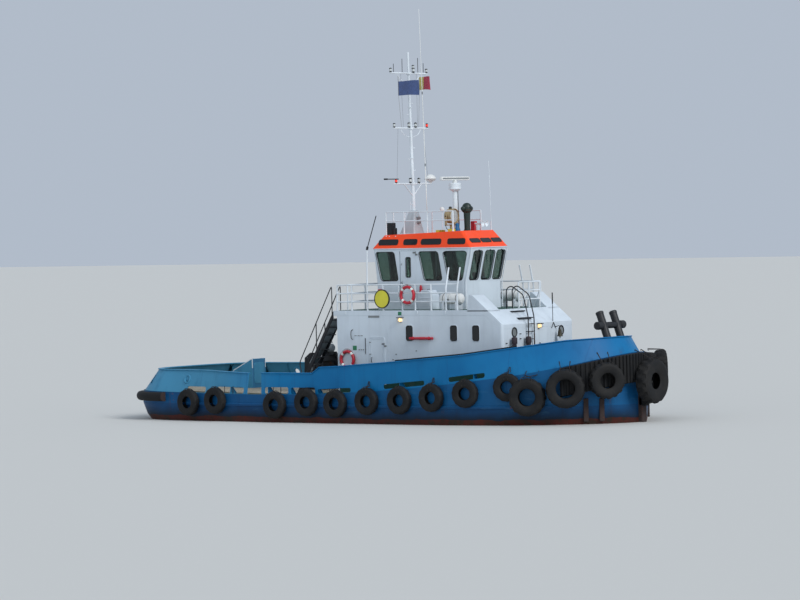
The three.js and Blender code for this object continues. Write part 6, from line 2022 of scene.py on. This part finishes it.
def make_winch():
    cx, cz, half = -4.0, 1.9, 0.56
    piece = Piece()
    plate = [(-0.48, -0.86), (-0.42, 0.42), (-0.15, 0.62), (0.25, 0.62), (0.42, 0.3), (0.56, -0.86)]
    boss = [(0.085, -0.035), (0.15, -0.035), (0.15, 0.035), (0.085, 0.035)]
    for side in (-1, 1):
        y = side * half
        cheek = prism([(cx + a, cz + b) for a, b in plate], y - 0.04, y + 0.04, "y")
        hole = moved(tube([(0, -0.2, 0), (0, 0.2, 0)], 0.084, 24), (cx, y, cz))
        out = y + side * 0.04
        piece.add(BLACK, bevel(carve(cheek, [hole]), 0.006, 1, 40))
        piece.add(BLACK, moved(lathe(boss, 24, True, "y"), (cx, out, cz)))
        for a, b in circle(6, 0.12):
            p = Vector((cx + a, out, cz + b))
            piece.add(STEEL, tube([p, p + Vector((0, side * 0.045, 0))], 0.014, 6))
        for a, b in ((-0.44, -0.3), (0.5, -0.4), (-0.3, 0.5), (0.33, 0.45)):
            x, z = cx + a * 0.85, cz + b * 0.85
            piece.add(STEEL, tube([(x, out - 0.01, z), (x, out + side * 0.03, z)], 0.018, 6))
    low = deck_z(cx) - 0.02
    piece.add(
        BLACK,
        block(cx - 0.6, cx + 0.64, -half - 0.12, half + 0.12, low, 1.18, 0.015),
        block(cx - 0.13, cx + 0.23, -half, half, cz + 0.5, cz + 0.6, 0.01),
        block(cx - 0.06, cx + 0.26, -0.15, 0.25, cz + 0.59, cz + 0.98, 0.04, 2),
    )
    motor = [
        (0, 0), (0.15, 0), (0.17, 0.02), (0.17, 0.1), (0.16, 0.12), (0.17, 0.14), (0.17, 0.3), (0.12, 0.36),
        (0, 0.37),
    ]
    piece.add(GREY, moved(lathe(motor, 24, axis="x"), (cx + 0.15, 0.05, cz + 0.78)))
    hose = [
        (cx + 0.2, 0.2, cz + 0.7), (cx + 0.55, 0.24, cz + 0.5), (cx + 0.6, 0.3, cz - 0.2),
        (cx + 0.58, 0.3, low + 0.1),
    ]
    for dy in (0, 0.07):
        piece.add(GASKET, tube([p + Vector((0, dy, 0)) for p in bent(hose, 0.25, 8)], 0.02, 8))
    piece.done("towing_winch_frames", "black_paint", "towing_winch_frame")

    piece = Piece()
    end = half - 0.046
    at = (cx, 0, cz)
    for side in (-1, 1):
        flange = [
            (0.08, side * end), (0.44, side * end), (0.46, side * (end - 0.01)), (0.46, side * (end - 0.03)),
            (0.44, side * (end - 0.04)), (0.08, side * (end - 0.04)),
        ]
        piece.add(BLACK, moved(lathe(flange, 40, True, "y"), at))
        for t in frange(0, 2 * pi, 8)[:-1]:
            face = Vector(at) + Vector((0, side * (end - 0.002), 0))
            spoke = [face + rot("Y", math.degrees(t)) @ Vector((r, 0, 0)) for r in (0.16, 0.42)]
            piece.add(BLACK, tube(spoke, 0.013, 6))
    turns, span = 26, end - 0.05
    pitch = 2 * span / turns
    core = [(0.08, -span)]
    for k in range(turns):
        y = -span + k * pitch
        core += [
            (0.262, y + pitch * 0.08), (0.274, y + pitch * 0.3), (0.277, y + pitch * 0.5),
            (0.274, y + pitch * 0.7), (0.262, y + pitch * 0.92),
        ]
    core.append((0.08, span))
    piece.add(CHAIN, moved(lathe(core, 40, True, "y"), at))
    for finish, radius, reach in ((STEEL, 0.076, half + 0.16), (BLACK, 0.13, half - 0.0403)):
        shaft = [(0, -reach), (radius, -reach), (radius, reach), (0, reach)]
        piece.add(finish, moved(lathe(shaft, 28, axis="y"), at))
    piece.done("winch_drum_wound", "black_paint", "winch_drum", "drum")


def make_hatch():
    piece = Piece()
    low = deck_z(-7.8) - 0.02
    side = [(-8.2, low), (-8.2, 1.78), (-7.2, 2.27), (-7.2, low)]
    piece.add(BULWARK_PAINT, prism(side, -0.42, 0.42, "y", 0.02))
    slope = math.atan2(0.49, 1.0)
    for y in (-0.4, 0.4):
        edge = [(-8.19, y, 1.5), (-8.19, y, 1.79), (-7.21, y, 2.262), (-7.21, y, 1.9)]
        piece.add(WHITE_FINE, tube(bent(edge, 0.06), 0.02, 8))
    lid = block(-0.48, 0.48, -0.36, 0.36, 0.0, 0.02, 0.008)
    piece.add(BULWARK_PAINT, moved(lid, (-7.7, 0, 2.03), rot("Y", -math.degrees(slope))))
    for y in (-0.25, 0.25):
        piece.add(STEEL, tube([(-7.28, y - 0.05, 2.25), (-7.28, y + 0.05, 2.25)], 0.012, 8))
    grip = [(-8.05, y, z) for y, z in ((-0.1, 1.86), (-0.1, 1.92), (0.1, 1.92), (0.1, 1.86))]
    piece.add(STEEL, tube(bent(grip, 0.03), 0.01, 6))
    door = round_rect(-0.3, 0.3, 1.3, 2.1, 0.08, 4)
    surface = on_front(-7.2)
    piece.add(BULWARK_PAINT, patch(surface, door, -0.002, 0.02), rim(surface, door, 0.014, 0.0, 6))
    return piece.done("companion_hatch_box", "blue_paint", "companion_hatch")


# Under water
def make_propeller(name, side):
    piece, at = Piece(), Vector((PROP_X, side * PROP_Y, PROP_Z))
    hub = [
        (0, -0.23), (0.04, -0.228), (0.09, -0.2), (0.11, -0.15), (0.125, 0.0), (0.13, 0.2), (0.12, 0.22),
        (0, 0.22),
    ]
    piece.add(BRONZE, moved(lathe(hub, 32, axis="x"), at))
    piece.add(STEEL, tube([at + Vector((0.2, 0, 0)), Vector((-7.0003, side * PROP_Y, PROP_Z))], 0.076, 24))
    stations = [
        (0.1, 0.1, 0.05), (0.2, 0.14, 0.044), (0.32, 0.19, 0.034), (0.46, 0.22, 0.026), (0.58, 0.22, 0.02),
        (0.68, 0.19, 0.015), (0.75, 0.13, 0.011), (0.788, 0.05, 0.007),
    ]
    for k in range(4):
        rings = []
        for r, half, thick in stations:
            # the blade's chord turns from along the shaft towards across it, further out
            lead = math.radians(side * (68 - 34 * (r / 0.79)))
            c, s, ring = math.cos(lead), math.sin(lead), []
            for t in frange(0, 2 * pi, 16)[:-1]:
                chord, deep = half * math.cos(t), thick * math.sin(t) * (1 - 0.35 * math.cos(t))
                ring.append((chord * c - deep * s, chord * s + deep * c, r))
            rings.append(ring)
        piece.add(BRONZE, moved(loft(rings), at, rot("X", 90 * k)))
    return piece.done("propeller_blades_" + name, "bronze", "propeller_" + name, "screw_" + name)


def make_nozzle(name, side):
    front, back, inner, outer = -7.4, -8.35, 0.83, 0.93
    length = front - back
    outside = [
        (inner + 0.012, 0.0), (outer - 0.04, 0.35), (outer, 0.62), (outer, 0.85), (outer - 0.01, 0.95),
        (outer - 0.03, 0.99), (inner + 0.06, 1.0),
    ]
    inside = [
        (inner + 0.03, 0.95), (inner + 0.004, 0.75), (inner, 0.55), (inner, 0.35), (inner + 0.004, 0.02),
    ]
    piece = Piece()
    shape = lathe([(r, h * length) for r, h in outside + inside], 56, True, "x")
    piece.add(BOTTOM, moved(shape, (back, side * PROP_Y, PROP_Z)))
    foil = [
        (0.12, 0), (0.2, 0.09), (0.4, 0.12), (0.6, 0.11), (0.8, 0.05), (0.89, 0.0), (0.8, -0.05),
        (0.6, -0.11), (0.4, -0.12), (0.2, -0.09),
    ]
    piece.add(BOTTOM, moved(prism(foil, inner + 0.03, 1.3), (back, side * PROP_Y, PROP_Z)))
    for z in (-0.5, 0.5):
        anode = block(0.25, 0.5, 0.78, 0.84, z - 0.04, z + 0.04, 0.015)
        piece.add(STEEL, moved(anode, (back, side * PROP_Y, PROP_Z)))
    return piece.done("nozzle_ring_" + name, "bottom_paint", "nozzle_" + name)


def make_rudder(name, side):
    ahead, behind, top, bottom = 0.26, 0.64, -1.0, -2.68
    upper = [
        (ahead, 0), (ahead - 0.02, 0.028), (ahead - 0.06, 0.055), (0.08, 0.088), (-0.03, 0.095),
        (-0.2, 0.075), (-0.42, 0.042), (-behind, 0.014),
    ]
    plan = upper + [(x, -y) for x, y in reversed(upper[1:])]
    piece = Piece()
    at = (RUDDER_X, side * PROP_Y, 0)
    piece.add(BOTTOM, moved(prism(plan, bottom, top), at))
    cap = round_rect(-behind, ahead, -0.11, 0.11, 0.1, 6)
    for z in (top - 0.005, bottom):
        piece.add(BOTTOM, moved(prism(cap, z, z + 0.03, "z", 0.006), at))
    piece.add(STEEL, tube([(RUDDER_X, side * PROP_Y, top), (RUDDER_X, side * PROP_Y, -0.5603)], 0.076, 24))
    return piece.done("rudder_plate_" + name, "bottom_paint", "rudder_" + name, "rudder_blade_" + name)


# Helm, seen through the glass
def make_console():
    piece = Piece()
    side = [(2.75, 4.24), (2.65, 5.15), (2.68, 5.2), (2.85, 5.3), (3.6, 5.215), (3.65, 5.19), (3.65, 4.24)]
    piece.add(GREY, prism(side, -0.8, 0.8, "y", 0.012))
    for y in (-0.55, 0.0, 0.55):
        screen = block(-0.02, 0.02, -0.19, 0.19, -0.13, 0.13, 0.008)
        piece.add(BLACK, moved(screen, (3.05, y, 5.43), rot("Y", -18)))
        glass_face = block(-0.024, -0.019, -0.165, 0.165, -0.105, 0.105)
        piece.add(DARK_GLASS_AND_PAINTED_SHADE, moved(glass_face, (3.05, y, 5.43), rot("Y", -18)))
        piece.add(BLACK, tube([(3.08, y, 5.26), (3.07, y, 5.38)], 0.03, 10))
    for y in (-0.22, 0.22):
        piece.add(STEEL, tube([(2.8, y, 5.25), (2.76, y, 5.42)], 0.012, 8))
        knob = [(0, -0.03), (0.025, -0.02), (0.03, 0.01), (0.015, 0.035), (0, 0.04)]
        piece.add(BLACK, moved(lathe(knob, 12), (2.76, y, 5.44)))
    wheel = [(2.6, a, 5.05 + b) for a, b in circle(20, 0.16)]
    piece.add(BLACK, tube(wheel, 0.014, 8, closed=True))
    for t in (0.5, 2.6, 4.7):
        spoke = [(2.6, 0, 5.05), (2.6, 0.16 * math.cos(t), 5.05 + 0.16 * math.sin(t))]
        piece.add(STEEL, tube(spoke, 0.01, 6))
    piece.add(STEEL, tube([(2.6, 0, 5.05), (2.7, 0, 5.06)], 0.02, 8))
    button = lathe([(0, 0), (0.016, 0), (0.014, 0.02), (0, 0.022)], 8)
    for k in range(12):
        y, x = -0.66 + 0.12 * k, 2.74 + 0.03 * (k % 2)
        piece.add(RED if k % 4 == 0 else BLACK, moved(button, (x, y, 5.235)))
    return piece.done("helm_console_desk", "grey_paint", "helm_console")


def cushion(x0, x1, y0, y1, z0, z1, crown, axis="z"):
    """A stuffed pad: rounded edges, a crowned face, sides drawn in between the corners."""
    rows = []
    for lift in range(7):
        t = lift / 6
        grow = math.sin(pi * t) ** 0.5 if 0 < t < 1 else 0.0
        row = []
        for a, b in round_rect(-1, 1, -1, 1, 0.28, 5):
            pull = 1 - 0.03 * (1 - abs(a * b)) * grow
            row.append((a * (0.93 + 0.07 * grow) * pull, b * (0.93 + 0.07 * grow) * pull, t))
        rows.append(row)
    mid = [[(a * k, b * k, 1 + crown * (1 - k * k)) for a, b, _ in rows[-1]] for k in (0.8, 0.55, 0.3, 0.1)]
    low = [[(a * k, b * k, 0.0) for a, b, _ in rows[0]] for k in (0.1, 0.6)]
    shape = loft(low + rows + mid)

    def place(p):
        a, b, c = (p[0] + 1) / 2, (p[1] + 1) / 2, p[2]
        if axis == "x":
            return x0 + (x1 - x0) * c, y0 + (y1 - y0) * b, z0 + (z1 - z0) * a
        return x0 + (x1 - x0) * a, y0 + (y1 - y0) * b, z0 + (z1 - z0) * c

    return [place(p) for p in shape[0]], shape[1]


def make_chair():
    piece = Piece()
    foot = [
        (0, 4.24), (0.26, 4.24), (0.26, 4.26), (0.07, 4.3), (0.055, 4.32), (0.055, 4.66), (0.14, 4.7),
        (0, 4.7),
    ]
    piece.add(STEEL, moved(lathe(foot, 20), (2.06, 0, 0)))
    spine = prism([(1.76, 4.7), (1.9, 4.7), (1.8, 5.3), (1.73, 5.3)], -0.05, 0.05, "y", 0.01)
    piece.add(BLACK, block(1.86, 2.26, -0.2, 0.2, 4.69, 4.72, 0.01), spine)
    for side in (-1, 1):
        arm = [(1.82, side * 0.24, 4.72), (1.82, side * 0.28, 4.98), (2.18, side * 0.28, 5.0)]
        pad = side_block(side, 1.86, 2.18, 0.25, 0.31, 5.0, 5.04, 0.015)
        piece.add(BLACK, tube(bent(arm, 0.06), 0.018, 8), pad)
    piece.done("helm_chair_frame", "black_paint", "helm_chair")
    for name, shape in (
        ("helm_seat_cushion", cushion(1.82, 2.3, -0.25, 0.25, 4.72, 4.83, 0.18)),
        ("helm_back_cushion", cushion(1.76, 1.86, -0.23, 0.23, 4.86, 5.46, 0.18, "x")),
    ):
        pad = Piece().add(LEATHER, shape).done(name, "black_paint", sharp=60)


LEATHER = rubber("chair_vinyl", rgb(38, 38, 42), dust=0.15, rough=0.55)
FLAG_BLUE = cloth("flag_blue", [(0, rgb(72, 92, 140))])
FLAG_RED = cloth("flag_red", [(0, rgb(196, 186, 104)), (mast_x(13.2) + 0.19, rgb(182, 56, 82))])

for gear_name, gear_side in (("starboard", -1), ("port", 1)):
    make_side_rail(gear_name, gear_side)
    make_liferaft(gear_name, gear_side)
    make_propeller(gear_name, gear_side)
    make_nozzle(gear_name, gear_side)
    make_rudder(gear_name, gear_side)
make_front_rail()
make_roof_rail()
make_stair()
make_front_ladder()
make_locker()
make_life_ring("life_ring_upper", (1.96, -RAIL_Y - 0.0869, 4.78), "life_ring_boat_deck")
make_life_ring("life_ring_lower", (-0.95, -HOUSE_HALF - 0.0609, 2.35), "life_ring_aft")
make_disc()
make_binnacle()
make_searchlight()
make_radar()
make_mast()
make_dome()
make_whip()
make_roof_extras()
make_flag("house", FLAG_BLUE, 1.1)
make_flag("small", FLAG_RED, 0.8)
make_bitt()
make_winch()
make_hatch()
make_console()
make_chair()


# Surroundings
def make_stage():
    mesh = bpy.data.meshes.new("floor")
    mesh.from_pydata([(-400, -400, 0), (400, -400, 0), (400, 400, 0), (-400, 400, 0)], [], [[0, 1, 2, 3]])
    floor = linked("floor", mesh)
    mesh.materials.append(Finish("floor").done(rgb(206, 206, 202), 0.9))
    world = bpy.data.worlds.new("studio")
    bpy.context.scene.world = world
    world.use_nodes = True
    world.node_tree.nodes["Background"].inputs["Color"].default_value = rgb(208, 220, 236)
    world.node_tree.nodes["Background"].inputs["Strength"].default_value = 0.7
    bpy.context.scene.view_settings.view_transform = "Standard"
    suns = ("key", (-0.8, 0.12, -0.58), 1.9, 25), ("fill", (-0.2, 0.9, -0.35), 0.4, 60)
    for name, direction, power, size in suns:
        light = bpy.data.lights.new(name, "SUN")
        light.energy, light.angle = power, math.radians(size)
        sun = linked(name, light)
        sun.rotation_mode = "QUATERNION"
        sun.rotation_quaternion = Vector(direction).to_track_quat("-Z", "Y")


make_stage()
